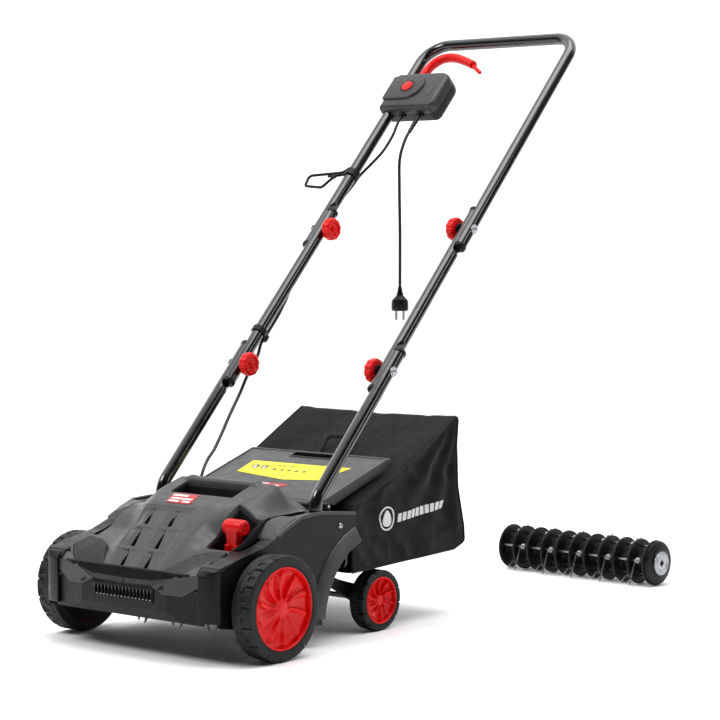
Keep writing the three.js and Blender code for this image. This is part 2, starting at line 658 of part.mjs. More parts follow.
function knob(side) {
  const points = [];
  const lobes = 10;
  for (let i = 0; i < lobes * 2; i += 1) {
    const r = i % 2 ? 22.5 : 20.5;
    const angle = (Math.PI * i) / lobes;
    points.push([r * Math.cos(angle), r * Math.sin(angle)]);
  }
  const inner = MID_TUBE_X - TUBE_RADIUS - GAP;
  let body = alongX(points, inner - 22, inner - 4).add(rod(11, inner - 6, inner, 12));
  body = body.subtract(rod(9, inner - 23, inner - 19, 10)).subtract(rod(BOLT_RADIUS + GAP, inner - 24, inner + 1, 8));
  return side > 0 ? body : body.mirror([1, 0, 0]);
}

function bolt(side) {
  const outer = OUTER_TUBE_X + TUBE_RADIUS + GAP;
  const tip = MID_TUBE_X - TUBE_RADIUS - 17;
  const shape = turned([[0, tip], [BOLT_RADIUS, tip], [BOLT_RADIUS, outer], [7.5, outer], [7, outer + 2.4],
    [0, outer + 4.4]], 10);
  return side > 0 ? shape : shape.mirror([1, 0, 0]);
}

for (const [side, label] of [[-1, 'left'], [1, 'right']]) {
  piece(`lower_knob_${label}`, knob(side), redPlastic, midFrame);
  piece(`lower_bolt_${label}`, bolt(side), zinc, midFrame);
  piece(`upper_knob_${label}`, knob(side), redPlastic, upperFrame);
  piece(`upper_bolt_${label}`, bolt(side), zinc, upperFrame);
}

// ---------------------------------------------------------------- switch box and its controls
const SWITCH = { x0: -205, x1: -64, y0: 322, y1: 425, back: -27, front: 27, corner: 16 };
const BUTTON = { x: -152, y: 378, radius: 13 };

function switchOutline(inset) {
  const { x0, x1, y0, y1, corner } = SWITCH;
  const shape = [[x0 + inset, y0 + inset], [x1 - corner, y0 + inset]];
  for (const [cx, cy, start] of [[x1 - corner, y0 + corner, -90], [x1 - corner, y1 - corner, 0]]) {
    for (const step of [0, 30, 60, 90]) {
      const a = THREE.MathUtils.degToRad(start + step);
      shape.push([cx + (corner - inset) * Math.cos(a), cy + (corner - inset) * Math.sin(a)]);
    }
  }
  shape.push([x0 + 10, y1 - inset], [x0 + inset, y1 - 8]);
  return shape;
}

function switchHalf(z0, z1, bottomOpen) {
  let half = alongZ(switchOutline(0), z0, z1);
  const hollow = alongZ(switchOutline(3), bottomOpen ? z0 - 1 : z0 + 3, bottomOpen ? z1 - 3 : z1 + 1);
  const clampBlock = box(SWITCH.x0 - 1, -172, SWITCH.y0 - 1, SWITCH.y1 + 1, z0 - 2, z1 + 2);
  half = half.subtract(hollow.subtract(clampBlock));
  const leg = new THREE.CylinderGeometry(TUBE_RADIUS + GAP, TUBE_RADIUS + GAP, 200, 20);
  return half.subtract(solid(leg.translate(-OUTER_TUBE_X, 380, 0)));
}

function switchFront() {
  const half = switchHalf(0.15, SWITCH.front, true);
  const hole = new THREE.CylinderGeometry(BUTTON.radius + GAP, BUTTON.radius + GAP, 20, 24).rotateX(Math.PI / 2);
  return half.subtract(solid(hole.translate(BUTTON.x, BUTTON.y, SWITCH.front)))
    .subtract(box(-172, -132, 410, 430, -12, 12)).subtract(relieve('mains')).subtract(relieve('motor'));
}

function switchBack() {
  return switchHalf(SWITCH.back, -0.15, false)
    .subtract(box(-172, -132, 410, 430, -12, 12)).subtract(relieve('mains')).subtract(relieve('motor'));
}

const CORD_EXITS = { mains: { x: -104, radius: 5.5 }, motor: { x: -149, radius: 4 } };
function relieve(name) {
  const exit = CORD_EXITS[name];
  const hole = new THREE.CylinderGeometry(exit.radius + GAP, exit.radius + GAP, 30, 16);
  return solid(hole.translate(exit.x, SWITCH.y0 + 5, 0));
}

function switchLever() {
  const path = smooth([vec(-159, 404, 0), vec(-156, 452, 0), vec(-146, 484, 0), vec(-124, 500, 0), vec(-96, 494, 0),
    vec(-62, 474, 0), vec(-38, 460, 0)], 10);
  const stub = sweep([vec(-44, 463.5, 0), vec(-12, 438, 0)], 3.6, 8);
  const base = new THREE.CylinderGeometry(9, 9, 12, 20).rotateX(Math.PI / 2).translate(-158, 404, 0);
  return sweep(path, 7, 10).add(stub).add(solid(base));
}

function safetyButton() {
  const cap = new THREE.CylinderGeometry(BUTTON.radius - 0.8, BUTTON.radius, 13, 24).rotateX(Math.PI / 2);
  return solid(cap.translate(BUTTON.x, BUTTON.y, SWITCH.front - 4));
}

piece('switch_box_front', switchFront(), greyPlastic, upperFrame);
piece('switch_box_back', switchBack(), blackPlastic, upperFrame);
piece('switch_lever', switchLever(), redPlastic, upperFrame);
piece('safety_button', safetyButton(), redPlastic, upperFrame);

// ---------------------------------------------------------------- cords
const toUpper = new THREE.Matrix4().makeRotationX(LEAN).setPosition(UPPER_JOINT);
const toMid = new THREE.Matrix4().makeRotationX(LEAN).setPosition(LOWER_JOINT);

const reliefTop = vec(CORD_EXITS.mains.x, SWITCH.y0 + 6, 0);
const reliefEnd = vec(CORD_EXITS.mains.x, SWITCH.y0 - 52, 0);
function strainRelief() {
  const sleeve = new THREE.CylinderGeometry(5.2, 3.6, 58, 14).translate(reliefTop.x, SWITCH.y0 - 23, 0);
  return solid(sleeve);
}
piece('mains_strain_relief', strainRelief(), cordSkin, upperFrame);

// The mains pigtail leaves its sleeve along the handle, turns down and hangs by its own weight.
const MAINS_RADIUS = 3.2;
const mainsExit = reliefEnd.clone().add(vec(0, -GAP, 0)).applyMatrix4(toUpper);
function mainsRoute() {
  const start = mainsExit.clone();
  const heading = up.clone().negate();
  const drop = start.clone().addScaledVector(heading, 34).add(vec(0, -6, -26));
  return smooth([start, start.clone().addScaledVector(heading, 12), drop, drop.clone().add(vec(0, -2, -60)),
    drop.clone().add(vec(0, 0, -150)), drop.clone().add(vec(0, 0, -262))], 18);
}
const mainsPoints = mainsRoute();
piece('mains_cord', sweep(mainsPoints, MAINS_RADIUS, 8), cordSkin);

function mainsPlug() {
  const end = mainsPoints[mainsPoints.length - 1];
  const profile = [[0, 0], [4.5, 0], [6, 12], [11, 20], [17, 26], [18, 44], [17, 48], [0, 48]];
  const points = profile.map(([r, h]) => new THREE.Vector2(r, h));
  let plug = solid(new THREE.LatheGeometry(points, 12).rotateX(-Math.PI / 2));
  for (const x of [-9.5, 9.5]) {
    const pin = new THREE.CylinderGeometry(2.4, 2.4, 20, 10).rotateX(Math.PI / 2).translate(x, 0, -57);
    plug = plug.add(solid(pin));
  }
  return plug.translate(end.x, end.y, end.z - GAP);
}
piece('mains_plug', mainsPlug(), blackPlastic);

// The motor cable is clipped to the left tubes; it is cut at the two fold joints.
const MOTOR_CABLE_RADIUS = 3;
function cableRoute(points, count) {
  return sweep(smooth(points, count), MOTOR_CABLE_RADIUS, 8);
}
const upperCable = [vec(-149, 332, 0), vec(-149, 300, 0), vec(-149, 268, -6), vec(-161, 232, -16),
  vec(-177, 198, -20), vec(-187, 172, -20.5), vec(-193, 126, -20.5), vec(-203, 60, -16), vec(-210, 20, -14),
  vec(-214, 4, -13)];
const midCable = [vec(-213, -6, -13), vec(-209, -30, -12), vec(-200, -62, -14), vec(-195, -92, -16),
  vec(-185, -150, -18.5), vec(-177, -210, -18.6), vec(-176.5, -262, -18.6), vec(-176.5, -286, -18.6),
  vec(-175, -311, -26), vec(-173.5, -358, -28.5), vec(-164, -401, -27)];
piece('motor_cable_upper', cableRoute(upperCable, 19), cordSkin, upperFrame);
const midCableLocal = midCable.map((p) => vec(p.x, p.y + MID_LENGTH, p.z));
piece('motor_cable_mid', cableRoute(midCableLocal, 20), cordSkin, midFrame);
const lowerCable = [vec(-162.5, -53, -26.7), vec(-149, -110, -21), vec(-138, -155, -18), vec(-126, -198, -12)]
  .map((p) => p.applyMatrix4(toMid))
  .concat([vec(-109, 192, 280), vec(CABLE_ENTRY.x, CABLE_ENTRY.y + 3, 272), vec(CABLE_ENTRY.x, CABLE_ENTRY.y, 248)]);
piece('motor_cable_lower', cableRoute(lowerCable, 18), cordSkin);

// A double-ring clip holds the cable above the lower joint, a hook takes the extension lead.
function cableClip() {
  const tube = MID_TUBE_X;
  let clip = solid(new THREE.CylinderGeometry(TUBE_RADIUS + 3, TUBE_RADIUS + 3, 12, 16).translate(-tube, 82, 0));
  const eye = new THREE.CylinderGeometry(7.5, 7.5, 12, 12).translate(-tube + 1.5, 82, -18.6);
  clip = clip.add(solid(eye));
  const bore = new THREE.CylinderGeometry(TUBE_RADIUS + GAP, TUBE_RADIUS + GAP, 14, 16);
  clip = clip.subtract(solid(bore.translate(-tube, 82, 0)));
  const cable = new THREE.CylinderGeometry(4.6, 4.6, 14, 10).translate(-tube + 1.5, 82, -18.6);
  return clip.subtract(solid(cable));
}
piece('cable_clip', cableClip(), blackPlastic, midFrame);

function cordRetainer() {
  const x = -OUTER_TUBE_X;
  const y = 150;
  const collar = new THREE.CylinderGeometry(TUBE_RADIUS + 4, TUBE_RADIUS + 4, 16, 12).translate(x, y, 0);
  let body = solid(collar);
  const loop = rounded([vec(x - 8, y - 4, 12), vec(x - 52, y - 8, 12), vec(x - 96, y - 12, 12),
    vec(x - 92, y - 40, 12), vec(x - 46, y - 44, 12), vec(x - 36, y - 22, 12)], 9, 3);
  body = body.add(sweep(loop, 3, 8));
  const bore = new THREE.CylinderGeometry(TUBE_RADIUS + GAP, TUBE_RADIUS + GAP, 20, 12).translate(x, y, 0);
  return body.subtract(solid(bore));
}
piece('cord_retainer', cordRetainer(), blackPlastic, upperFrame);

// ---------------------------------------------------------------- spare spring-tine reel
const spare = new THREE.Group();
spare.position.set(SPARE.x, SPARE.y, SPARE.radius);
spare.rotation.z = THREE.MathUtils.degToRad(-3);
machine.add(spare);
const DISCS = 11;
const DISC_PITCH = 37;
const DISC_THICKNESS = 5;
const BAR_RADIUS = 2.5;
const BAR_CIRCLE = 31;
const CORE_RADIUS = 24;
const SPARE_END = ((DISCS - 1) * DISC_PITCH + DISC_THICKNESS) / 2;
// Four bars, in degrees round the core, and where the tips of their tines lie in (y, z)
const TINE_BARS = [
  { angle: 80, tip: [44, 42] }, { angle: 170, tip: [-51, -43] },
  { angle: 260, tip: [-27, -43] }, { angle: 350, tip: [51, -43] },
];
const HOOK = 13;                 // the short end of a tine, straight out from its bar
const TINE_RADIUS = 1.7;

function spareCore() {
  const profile = [[0, -198], [12, -198], [12, -190]];
  for (let i = 0; i < DISCS; i += 1) {
    const x = (i - (DISCS - 1) / 2) * DISC_PITCH;
    profile.push([CORE_RADIUS, x - DISC_THICKNESS / 2], [SPARE.radius, x - DISC_THICKNESS / 2],
      [SPARE.radius, x + DISC_THICKNESS / 2], [CORE_RADIUS, x + DISC_THICKNESS / 2]);
  }
  profile.push([0, SPARE_END]);
  let core = turned(profile, 12);
  for (let k = 0; k < TINE_BARS.length; k += 1) {
    const [y, z] = barPlace(k);
    core = core.subtract(rod(BAR_RADIUS + 2 * GAP, -190, 190, 6, y, z));
  }
  return core;
}

function barPlace(k) {
  const angle = THREE.MathUtils.degToRad(TINE_BARS[k].angle);
  return [BAR_CIRCLE * Math.cos(angle), BAR_CIRCLE * Math.sin(angle)];
}

// Each bar carries sprung tines in every second space between the discs.
function tineBar(k) {
  const [y, z] = barPlace(k);
  const out = (BAR_CIRCLE + HOOK) / BAR_CIRCLE;
  let bar = rod(BAR_RADIUS, -187, 187, 6, y, z);
  for (let i = 0; i < 5; i += 1) {
    const x = (2 * i + (k % 2) - 4.5) * DISC_PITCH;
    const leg = [vec(x - 6, y, z), vec(x - 9, ...TINE_BARS[k].tip)];
    const hook = [vec(x + 6, y, z), vec(x + 8, y * out, z * out)];
    bar = bar.add(rod(5.4, x - 7, x + 7, 6, y, z)).add(sweep(leg, TINE_RADIUS, 4)).add(sweep(hook, TINE_RADIUS, 4));
  }
  return bar;
}

function spareEndCap() {
  const inner = SPARE_END + GAP;
  return turned([[18.5, inner], [44, inner], [44, 193], [40, 196], [26, 196], [24, 200], [18.5, 200],
    [18.5, inner]], 24);
}

function spareBearing() {
  const inner = SPARE_END + GAP;
  let race = turned([[0, inner], [18, inner], [18, 198], [14, 201], [0, 201]], 20);
  const socket = new THREE.BoxGeometry(20, 11, 11).rotateX(Math.PI / 4).translate(202, 0, 0);
  race = race.subtract(solid(socket));
  return race;
}

piece('spare_reel_core', spareCore(), blackPlastic, spare);
piece('spare_reel_end_cap', spareEndCap(), blackPlastic, spare);
piece('spare_reel_bearing', spareBearing(), steel, spare);
for (let k = 0; k < TINE_BARS.length; k += 1) {
  piece(`spare_tine_bar_${k + 1}`, tineBar(k), steel, spare);
}

// The origin is the middle of the footprint, measured without the hanging mains lead.
const footprint = new THREE.Box3();
machine.updateMatrixWorld(true);
machine.traverse((part) => {
  if (part.isMesh && part.name !== 'mains_cord' && part.name !== 'mains_plug') {
    footprint.union(new THREE.Box3().setFromObject(part, true));
  }
});
const middle = footprint.getCenter(new THREE.Vector3());
machine.position.set(-middle.x, -middle.y, -footprint.min.z);

const dethatcher = new THREE.Group();
dethatcher.add(machine);
export default dethatcher;
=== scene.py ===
"""Looks for the electric dethatcher and its spare spring-tine reel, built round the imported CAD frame.

Shapes are made in millimetres, in the machine's own axes: x across, y to the rear from the front
axle, z up from the ground. The matrices below place them in the row frame, in metres.
"""
import json
from functools import partial
from math import atan2, copysign, cos, exp, pi, radians, sin, tan

import bmesh
import bpy
import numpy as np
from mathutils import Matrix, Vector, noise

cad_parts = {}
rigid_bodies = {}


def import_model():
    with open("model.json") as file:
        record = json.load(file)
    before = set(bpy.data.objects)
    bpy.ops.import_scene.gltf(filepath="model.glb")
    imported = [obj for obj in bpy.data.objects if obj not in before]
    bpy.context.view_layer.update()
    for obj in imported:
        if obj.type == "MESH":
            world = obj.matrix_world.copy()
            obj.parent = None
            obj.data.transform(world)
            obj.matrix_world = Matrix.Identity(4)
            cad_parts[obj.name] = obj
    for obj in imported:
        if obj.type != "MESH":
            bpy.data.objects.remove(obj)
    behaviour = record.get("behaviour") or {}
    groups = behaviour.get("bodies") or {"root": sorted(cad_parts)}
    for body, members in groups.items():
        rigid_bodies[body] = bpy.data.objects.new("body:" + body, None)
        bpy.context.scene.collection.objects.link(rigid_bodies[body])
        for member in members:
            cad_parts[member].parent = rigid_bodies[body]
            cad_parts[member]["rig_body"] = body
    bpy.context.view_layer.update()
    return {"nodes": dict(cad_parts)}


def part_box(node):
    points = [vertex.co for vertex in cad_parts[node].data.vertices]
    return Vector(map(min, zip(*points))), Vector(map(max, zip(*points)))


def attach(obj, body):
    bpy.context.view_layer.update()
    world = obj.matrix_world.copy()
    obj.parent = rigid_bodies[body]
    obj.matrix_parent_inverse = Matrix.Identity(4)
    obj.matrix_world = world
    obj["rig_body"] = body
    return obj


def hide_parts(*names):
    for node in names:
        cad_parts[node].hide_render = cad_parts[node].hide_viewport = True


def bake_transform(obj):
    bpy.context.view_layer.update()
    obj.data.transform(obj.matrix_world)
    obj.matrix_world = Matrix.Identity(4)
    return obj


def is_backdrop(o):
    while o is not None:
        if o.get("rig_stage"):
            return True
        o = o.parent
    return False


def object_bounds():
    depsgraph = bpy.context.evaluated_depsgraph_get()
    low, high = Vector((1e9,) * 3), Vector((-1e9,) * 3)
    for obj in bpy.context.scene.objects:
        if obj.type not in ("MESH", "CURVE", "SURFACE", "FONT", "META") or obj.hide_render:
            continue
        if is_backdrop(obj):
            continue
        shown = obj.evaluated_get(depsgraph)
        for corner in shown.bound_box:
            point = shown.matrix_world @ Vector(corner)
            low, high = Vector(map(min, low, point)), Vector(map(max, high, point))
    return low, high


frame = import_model()
scene = bpy.context.scene

# ---- frames
MM = 0.001
pin_low, pin_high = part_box("flap_hinge_pin")
wheel_low, wheel_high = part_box("front_wheel_left")
ORIGIN = Vector(((pin_low.x + pin_high.x) / 2, (wheel_low.y + wheel_high.y) / 2, 0))
LEAN = radians(46.5)
LOWER_JOINT = Vector((0, 363.5, 467.5))
MID_LENGTH = 353
UP = Vector((0, cos(LEAN), sin(LEAN)))
UPPER_JOINT = LOWER_JOINT + UP * MID_LENGTH
SPARE_PLACE, SPARE_TURN = (115, 1100, 46), radians(-3)
MACHINE = Matrix.Translation(ORIGIN) @ Matrix.Scale(MM, 4)
MID = MACHINE @ Matrix.Translation(LOWER_JOINT) @ Matrix.Rotation(LEAN, 4, "X")
UPPER = MACHINE @ Matrix.Translation(UPPER_JOINT) @ Matrix.Rotation(LEAN, 4, "X")
SPARE = MACHINE @ Matrix.Translation(SPARE_PLACE) @ Matrix.Rotation(SPARE_TURN, 4, "Z")
SIDES = ((-1, "left"), (1, "right"))
# the turns that lay a shape made along x along another axis
X_TO_UP, X_TO_DOWN = (Matrix.Rotation(radians(a), 3, "Y") for a in (-90, 90))
X_TO_REAR, X_TO_FRONT = (Matrix.Rotation(radians(a), 3, "Z") for a in (90, -90))

# ---- camera
CAMERA_PLACE = (2728.3, -2810.4, 731.1)
CAMERA_PITCH = -3.418
CAMERA_HEADING = 39.417
SENSOR_WIDTH, FOCAL_LENGTH = 36, 112.75
camera = bpy.data.objects.new("camera", bpy.data.cameras.new("camera"))
camera.location = MACHINE @ Vector(CAMERA_PLACE)
camera.rotation_euler = (radians(90 + CAMERA_PITCH), 0, radians(CAMERA_HEADING))
camera.data.sensor_width = SENSOR_WIDTH
camera.data.lens = FOCAL_LENGTH
camera.data.clip_start, camera.data.clip_end = 0.05, 50
scene.collection.objects.link(camera)
scene.camera = camera


# ---- shapes: (points, faces) in mm
def vectors(points):
    return [Vector(p) for p in points]


def join(*shapes):
    points, faces = [], []
    for p, f in shapes:
        base = len(points)
        points += list(p)
        faces += [[i + base for i in face] for face in f]
    return points, faces


def moved(shape, x=0, y=0, z=0, turn=None):
    points, faces = shape
    if turn is not None:
        points = [turn @ Vector(p) for p in points]
    return [Vector(p) + Vector((x, y, z)) for p in points], faces


def mirrored(shape):
    points, faces = shape
    return [Vector((-p[0], p[1], p[2])) for p in points], [list(reversed(f)) for f in faces]


def sided(shape, side):
    """A shape made for the right side, mirrored when side is the left one."""
    return shape if side > 0 else mirrored(shape)


def both_sides(shape):
    return join(shape, mirrored(shape))


def circle(count, start=0.0):
    """(cosine, sine) pairs once round."""
    angles = [start + 2 * pi * i / count for i in range(count)]
    return [(cos(a), sin(a)) for a in angles]


def skin(rings, closed=True, capped=True):
    """Joins rings of points, each with as many points as the next."""
    n = len(rings[0])
    points = [Vector(p) for ring in rings for p in ring]
    faces = []
    last = n if closed else n - 1
    for i in range(len(rings) - 1):
        for j in range(last):
            k = (j + 1) % n
            faces.append([i * n + j, i * n + k, (i + 1) * n + k, (i + 1) * n + j])
    if capped:
        faces += [list(range(n))[::-1], [(len(rings) - 1) * n + j for j in range(n)]]
    return points, faces


def lathe(profile, segments=48, shape=None):
    """A profile of (radius, x) turned about the X axis. shape(radius, x, angle) may change a radius."""
    rings = []
    for r, x in profile:
        ring = []
        for i in range(segments):
            a = 2 * pi * i / segments
            rr = r if shape is None else shape(r, x, a)
            ring.append((x, rr * cos(a), rr * sin(a)))
        rings.append(ring)
    return skin(rings, capped=False)


def prism(outline, low, high, axis="x"):
    """An outline between two planes: (y, z) along x, or (x, y) along z."""
    return skin([[(w, u, v) if axis == "x" else (u, v, w) for u, v in outline] for w in (low, high)])


def block(x0, x1, y0, y1, z0, z1):
    return prism([(x0, y0), (x1, y0), (x1, y1), (x0, y1)], z0, z1, "z")


def tube(points, radius, sides=16, flat=1.0, side=None):
    """A round bar along points. radius is a number or one for each point; flat squeezes it
    across the direction side."""
    points = vectors(points)
    radii = [radius] * len(points) if isinstance(radius, (int, float)) else radius
    heading = (points[1] - points[0]).normalized()
    normal = Vector(side) if side is not None else heading.orthogonal()
    rings = []
    for i, p in enumerate(points):
        before = points[max(i - 1, 0)]
        after = points[min(i + 1, len(points) - 1)]
        way = (after - before).normalized()
        normal = (normal - way * normal.dot(way)).normalized()
        other = way.cross(normal)
        rings.append([p + normal * (radii[i] * flat * cos(2 * pi * k / sides))
            + other * (radii[i] * sin(2 * pi * k / sides)) for k in range(sides)])
    return skin(rings)


def rounded(points, radius, steps):
    """A polyline with its inner corners replaced by arcs."""
    points = vectors(points)
    result = [points[0]]
    for i in range(1, len(points) - 1):
        into = (points[i - 1] - points[i]).normalized()
        out = (points[i + 1] - points[i]).normalized()
        half = into.angle(out) / 2
        reach = radius / tan(half)
        centre = (into + out).normalized() * (radius / sin(half)) + points[i]
        start = points[i] + into * reach - centre
        end = points[i] + out * reach - centre
        axis = start.cross(end).normalized()
        turn = start.angle(end)
        for k in range(steps + 1):
            result.append(Matrix.Rotation(turn * k / steps, 3, axis) @ start + centre)
    return result + [points[-1]]


def smooth(points, count):
    """Evenly spaced points on a centripetal Catmull-Rom curve through points."""
    p = vectors(points)
    p = [p[0] * 2 - p[1]] + p + [p[-1] * 2 - p[-2]]
    fine = []
    for i in range(1, len(p) - 2):
        a, b, c, d = p[i - 1:i + 3]
        t0, t1, t2 = (max((v - u).length ** 0.5, 1e-4) for u, v in ((a, b), (b, c), (c, d)))
        m1 = ((b - a) / t0 - (c - a) / (t0 + t1) + (c - b) / t1) * t1
        m2 = ((c - b) / t1 - (d - b) / (t1 + t2) + (d - c) / t2) * t1
        for k in range(60):
            t = k / 60
            fine.append(b * (2 * t ** 3 - 3 * t ** 2 + 1) + m1 * (t ** 3 - 2 * t ** 2 + t)
                + c * (-2 * t ** 3 + 3 * t ** 2) + m2 * (t ** 3 - t ** 2))
    fine.append(p[-2])
    return spaced(fine, count)


def spaced(points, count):
    points = vectors(points)
    reach = [0.0]
    for u, v in zip(points, points[1:]):
        reach.append(reach[-1] + (v - u).length)
    result, j = [], 0
    for k in range(count + 1):
        s = reach[-1] * k / count
        while j < len(points) - 2 and reach[j + 1] < s:
            j += 1
        t = (s - reach[j]) / max(reach[j + 1] - reach[j], 1e-9)
        result.append(points[j].lerp(points[j + 1], min(max(t, 0), 1)))
    return result


def ease(low, high, v):
    t = min(max((v - low) / (high - low), 0), 1)
    return t * t * (3 - 2 * t)


def table_value(table, y):
    return float(np.interp(y, [row[0] for row in table], [row[1] for row in table]))


# ---- materials
def linear(rgb):
    return tuple((c / 255 / 12.92 if c / 255 <= 0.04045 else ((c / 255 + 0.055) / 1.055) ** 2.4)
        for c in rgb) + (1.0,)


def add_node(tree, kind, inputs=(), **settings):
    """A shader node. inputs are (socket, value) pairs; a value that is itself a socket is linked."""
    node = tree.nodes.new("ShaderNode" + kind)
    for key, value in settings.items():
        setattr(node, key, value)
    for key, value in inputs:
        if isinstance(value, bpy.types.NodeSocket):
            tree.links.new(value, node.inputs[key])
        else:
            node.inputs[key].default_value = value
    return node


def look(name, colour, rough, metallic=0.0, shade=0.18, patch=24, grain=900, bump=0.12, depth=0.0004,
        rough_spread=0.08, coat=0.0, coat_rough=0.1, sheen=0.0, edge_wear_and_highlight=0.0, edge_wear_and_highlight_colour=(120, 120, 120), weave=0,
        specular=0.5):
    """A principled material: two tones in slow patches, fine grain as bump, uneven roughness, and paler edges
    (partly wear, partly a painted highlight) where edge wear is above 0. weave is the pitch of a plain weave, in
    metres."""
    m = bpy.data.materials.new(name)
    m.use_nodes = True
    tree = m.node_tree
    shader = tree.nodes["Principled BSDF"]
    for socket, value in (("Metallic", metallic), ("Specular IOR Level", specular), ("Coat Weight", coat),
            ("Coat Roughness", coat_rough), ("Sheen Weight", sheen), ("Sheen Roughness", 0.5)):
        shader.inputs[socket].default_value = value
    vector = add_node(tree, "TexCoord").outputs["Object"]

    def cloud(scale, detail):
        return add_node(tree, "TexNoise", (("Scale", scale), ("Detail", detail), ("Vector", vector))).outputs[
            "Fac"]

    def ramp(value, low, high, to_low, to_high):
        return add_node(tree, "MapRange", (("From Min", low), ("From Max", high), ("To Min", to_low),
            ("To Max", to_high), ("Value", value))).outputs["Result"]

    def maths(operation, *values):
        return add_node(tree, "Math", enumerate(values), operation=operation).outputs[0]

    def mixed(first, second, amount):
        return add_node(tree, "Mix", ((6, first), (7, second), (0, amount)), data_type="RGBA").outputs[2]

    base = linear(colour)[:3]
    tone = mixed(tuple(c * (1 - shade) for c in base) + (1,),
        tuple(min(c * (1 + shade), 1) for c in base) + (1,), cloud(patch, 5))
    # paler edges where pointiness is high: partly wear, partly a painted highlight where light catches the rims
    if edge_wear_and_highlight:
        edge = ramp(add_node(tree, "NewGeometry").outputs["Pointiness"], 0.52, 0.62, 0, edge_wear_and_highlight)
        tone = mixed(tone, linear(edge_wear_and_highlight_colour), maths("MULTIPLY", edge, cloud(180, 3)))
    tree.links.new(tone, shader.inputs["Base Color"])
    uneven = ramp(cloud(patch * 3, 4), 0.3, 0.7, max(rough - rough_spread, 0.02), min(rough + rough_spread, 1))
    tree.links.new(uneven, shader.inputs["Roughness"])
    height = cloud(grain, 2)
    if weave:
        uv = add_node(tree, "UVMap").outputs["UV"]
        threads = [add_node(tree, "TexWave", (("Scale", 0.314 / weave), ("Distortion", 0.6), ("Detail", 1),
            ("Vector", uv)), wave_type="BANDS", bands_direction=way).outputs["Fac"] for way in ("X", "Y")]
        height = maths("MULTIPLY_ADD", maths("ADD", *threads), 0.6, height)
    relief = add_node(tree, "Bump", (("Strength", bump), ("Distance", depth), ("Height", height)))
    tree.links.new(relief.outputs["Normal"], shader.inputs["Normal"])
    return m
GREY = look("charcoal_plastic", (40, 41, 43), 0.4, edge_wear_and_highlight=0.3, edge_wear_and_highlight_colour=(92, 93, 95), bump=0.06, specular=0.4)
PLATE = look("fender_plastic", (52, 53, 55), 0.4, edge_wear_and_highlight=0.35, edge_wear_and_highlight_colour=(104, 105, 107), bump=0.05, specular=0.45)
BLACK = look("black_plastic", (8, 8, 9), 0.4, edge_wear_and_highlight=0.3, edge_wear_and_highlight_colour=(40, 40, 42), bump=0.05, specular=0.2)
DARK = look("shadow_plastic", (7, 7, 8), 0.5, edge_wear_and_highlight=0.2, edge_wear_and_highlight_colour=(36, 36, 38), bump=0.05, specular=0.25)
RED = look("red_plastic", (205, 3, 4), 0.36, shade=0.06, bump=0.03, coat=0.04, coat_rough=0.25, edge_wear_and_highlight=0.15,
    edge_wear_and_highlight_colour=(232, 50, 40), specular=0.22)
PAINT = look("gloss_black_paint", (6, 6, 7), 0.2, shade=0.1, grain=60, bump=0.01, coat=0.7, coat_rough=0.05,
    rough_spread=0.03, specular=0.4)
TYRE = look("tyre_plastic", (18, 19, 20), 0.55, edge_wear_and_highlight=0.5, edge_wear_and_highlight_colour=(66, 67, 69), grain=500, bump=0.1, specular=0.25)
STEEL = look("sprung_steel", (150, 152, 156), 0.3, metallic=1.0, shade=0.15, grain=400, bump=0.02)
ZINC = look("zinc_plate", (164, 166, 170), 0.34, metallic=1.0, shade=0.16, grain=300, bump=0.03)
CAST = look("cast_alloy", (104, 106, 109), 0.5, metallic=0.85, grain=350, bump=0.1)
RUBBER = look("belt_rubber", (16, 16, 17), 0.7, grain=600, bump=0.1)
CORD = look("cable_skin", (9, 9, 10), 0.45, grain=500, bump=0.03, specular=0.4)
FABRIC = look("bag_fabric", (17, 17, 19), 0.88, shade=0.3, patch=30, weave=0.0011, bump=0.4, depth=0.0005,
    sheen=0.08, specular=0.12)
WEBBING = look("bag_binding", (10, 10, 11), 0.8, weave=0.0014, bump=0.4, depth=0.0005, sheen=0.1, specular=0.2)
YELLOW = look("label_yellow", (246, 226, 0), 0.4, shade=0.03, bump=0.02, specular=0.3)
INK = look("label_ink", (22, 24, 34), 0.4, shade=0.1, bump=0.02)
WHITE = look("label_white", (224, 224, 222), 0.45, shade=0.03, bump=0.02)
LABEL_RED = look("label_red", (170, 26, 26), 0.4, shade=0.08, bump=0.02, specular=0.35)
PRINT = look("bag_print", (200, 200, 202), 0.7, shade=0.08, bump=0.1, grain=1400)


# ---- pieces
def mesh_piece(name, shape, material, place=MACHINE, angle=35, upward=False):
    points, faces = shape
    mesh = bpy.data.meshes.new(name)
    mesh.from_pydata([place @ Vector(p) for p in points], [], faces)
    bm = bmesh.new()
    bm.from_mesh(mesh)
    bmesh.ops.remove_doubles(bm, verts=bm.verts, dist=2e-6)
    bmesh.ops.recalc_face_normals(bm, faces=bm.faces)
    if upward and sum(face.normal.z * face.calc_area() for face in bm.faces) < 0:
        bmesh.ops.reverse_faces(bm, faces=bm.faces)
    bm.to_mesh(mesh)
    bm.free()
    mesh.shade_smooth()
    mesh.set_sharp_from_angle(angle=radians(angle))
    mesh.materials.append(material)
    obj = bpy.data.objects.new(name, mesh)
    scene.collection.objects.link(obj)
    return obj


def piece(name, shape, material, body="machine", place=MACHINE, bevel=0.0, stands_for=(), angle=35, steps=3,
        upward=False):
    obj = mesh_piece(name, shape, material, place, angle, upward)
    if bevel:
        soften(obj, bevel, steps)
    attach(obj, body)
    if stands_for:
        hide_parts(*stands_for)
    return obj


def soften(obj, width, steps, angle=30):
    edge = obj.modifiers.new("edges", "BEVEL")
    edge.width = width * MM
    edge.segments = steps
    edge.limit_method = "ANGLE"
    edge.angle_limit = radians(angle)
    edge.harden_normals = False


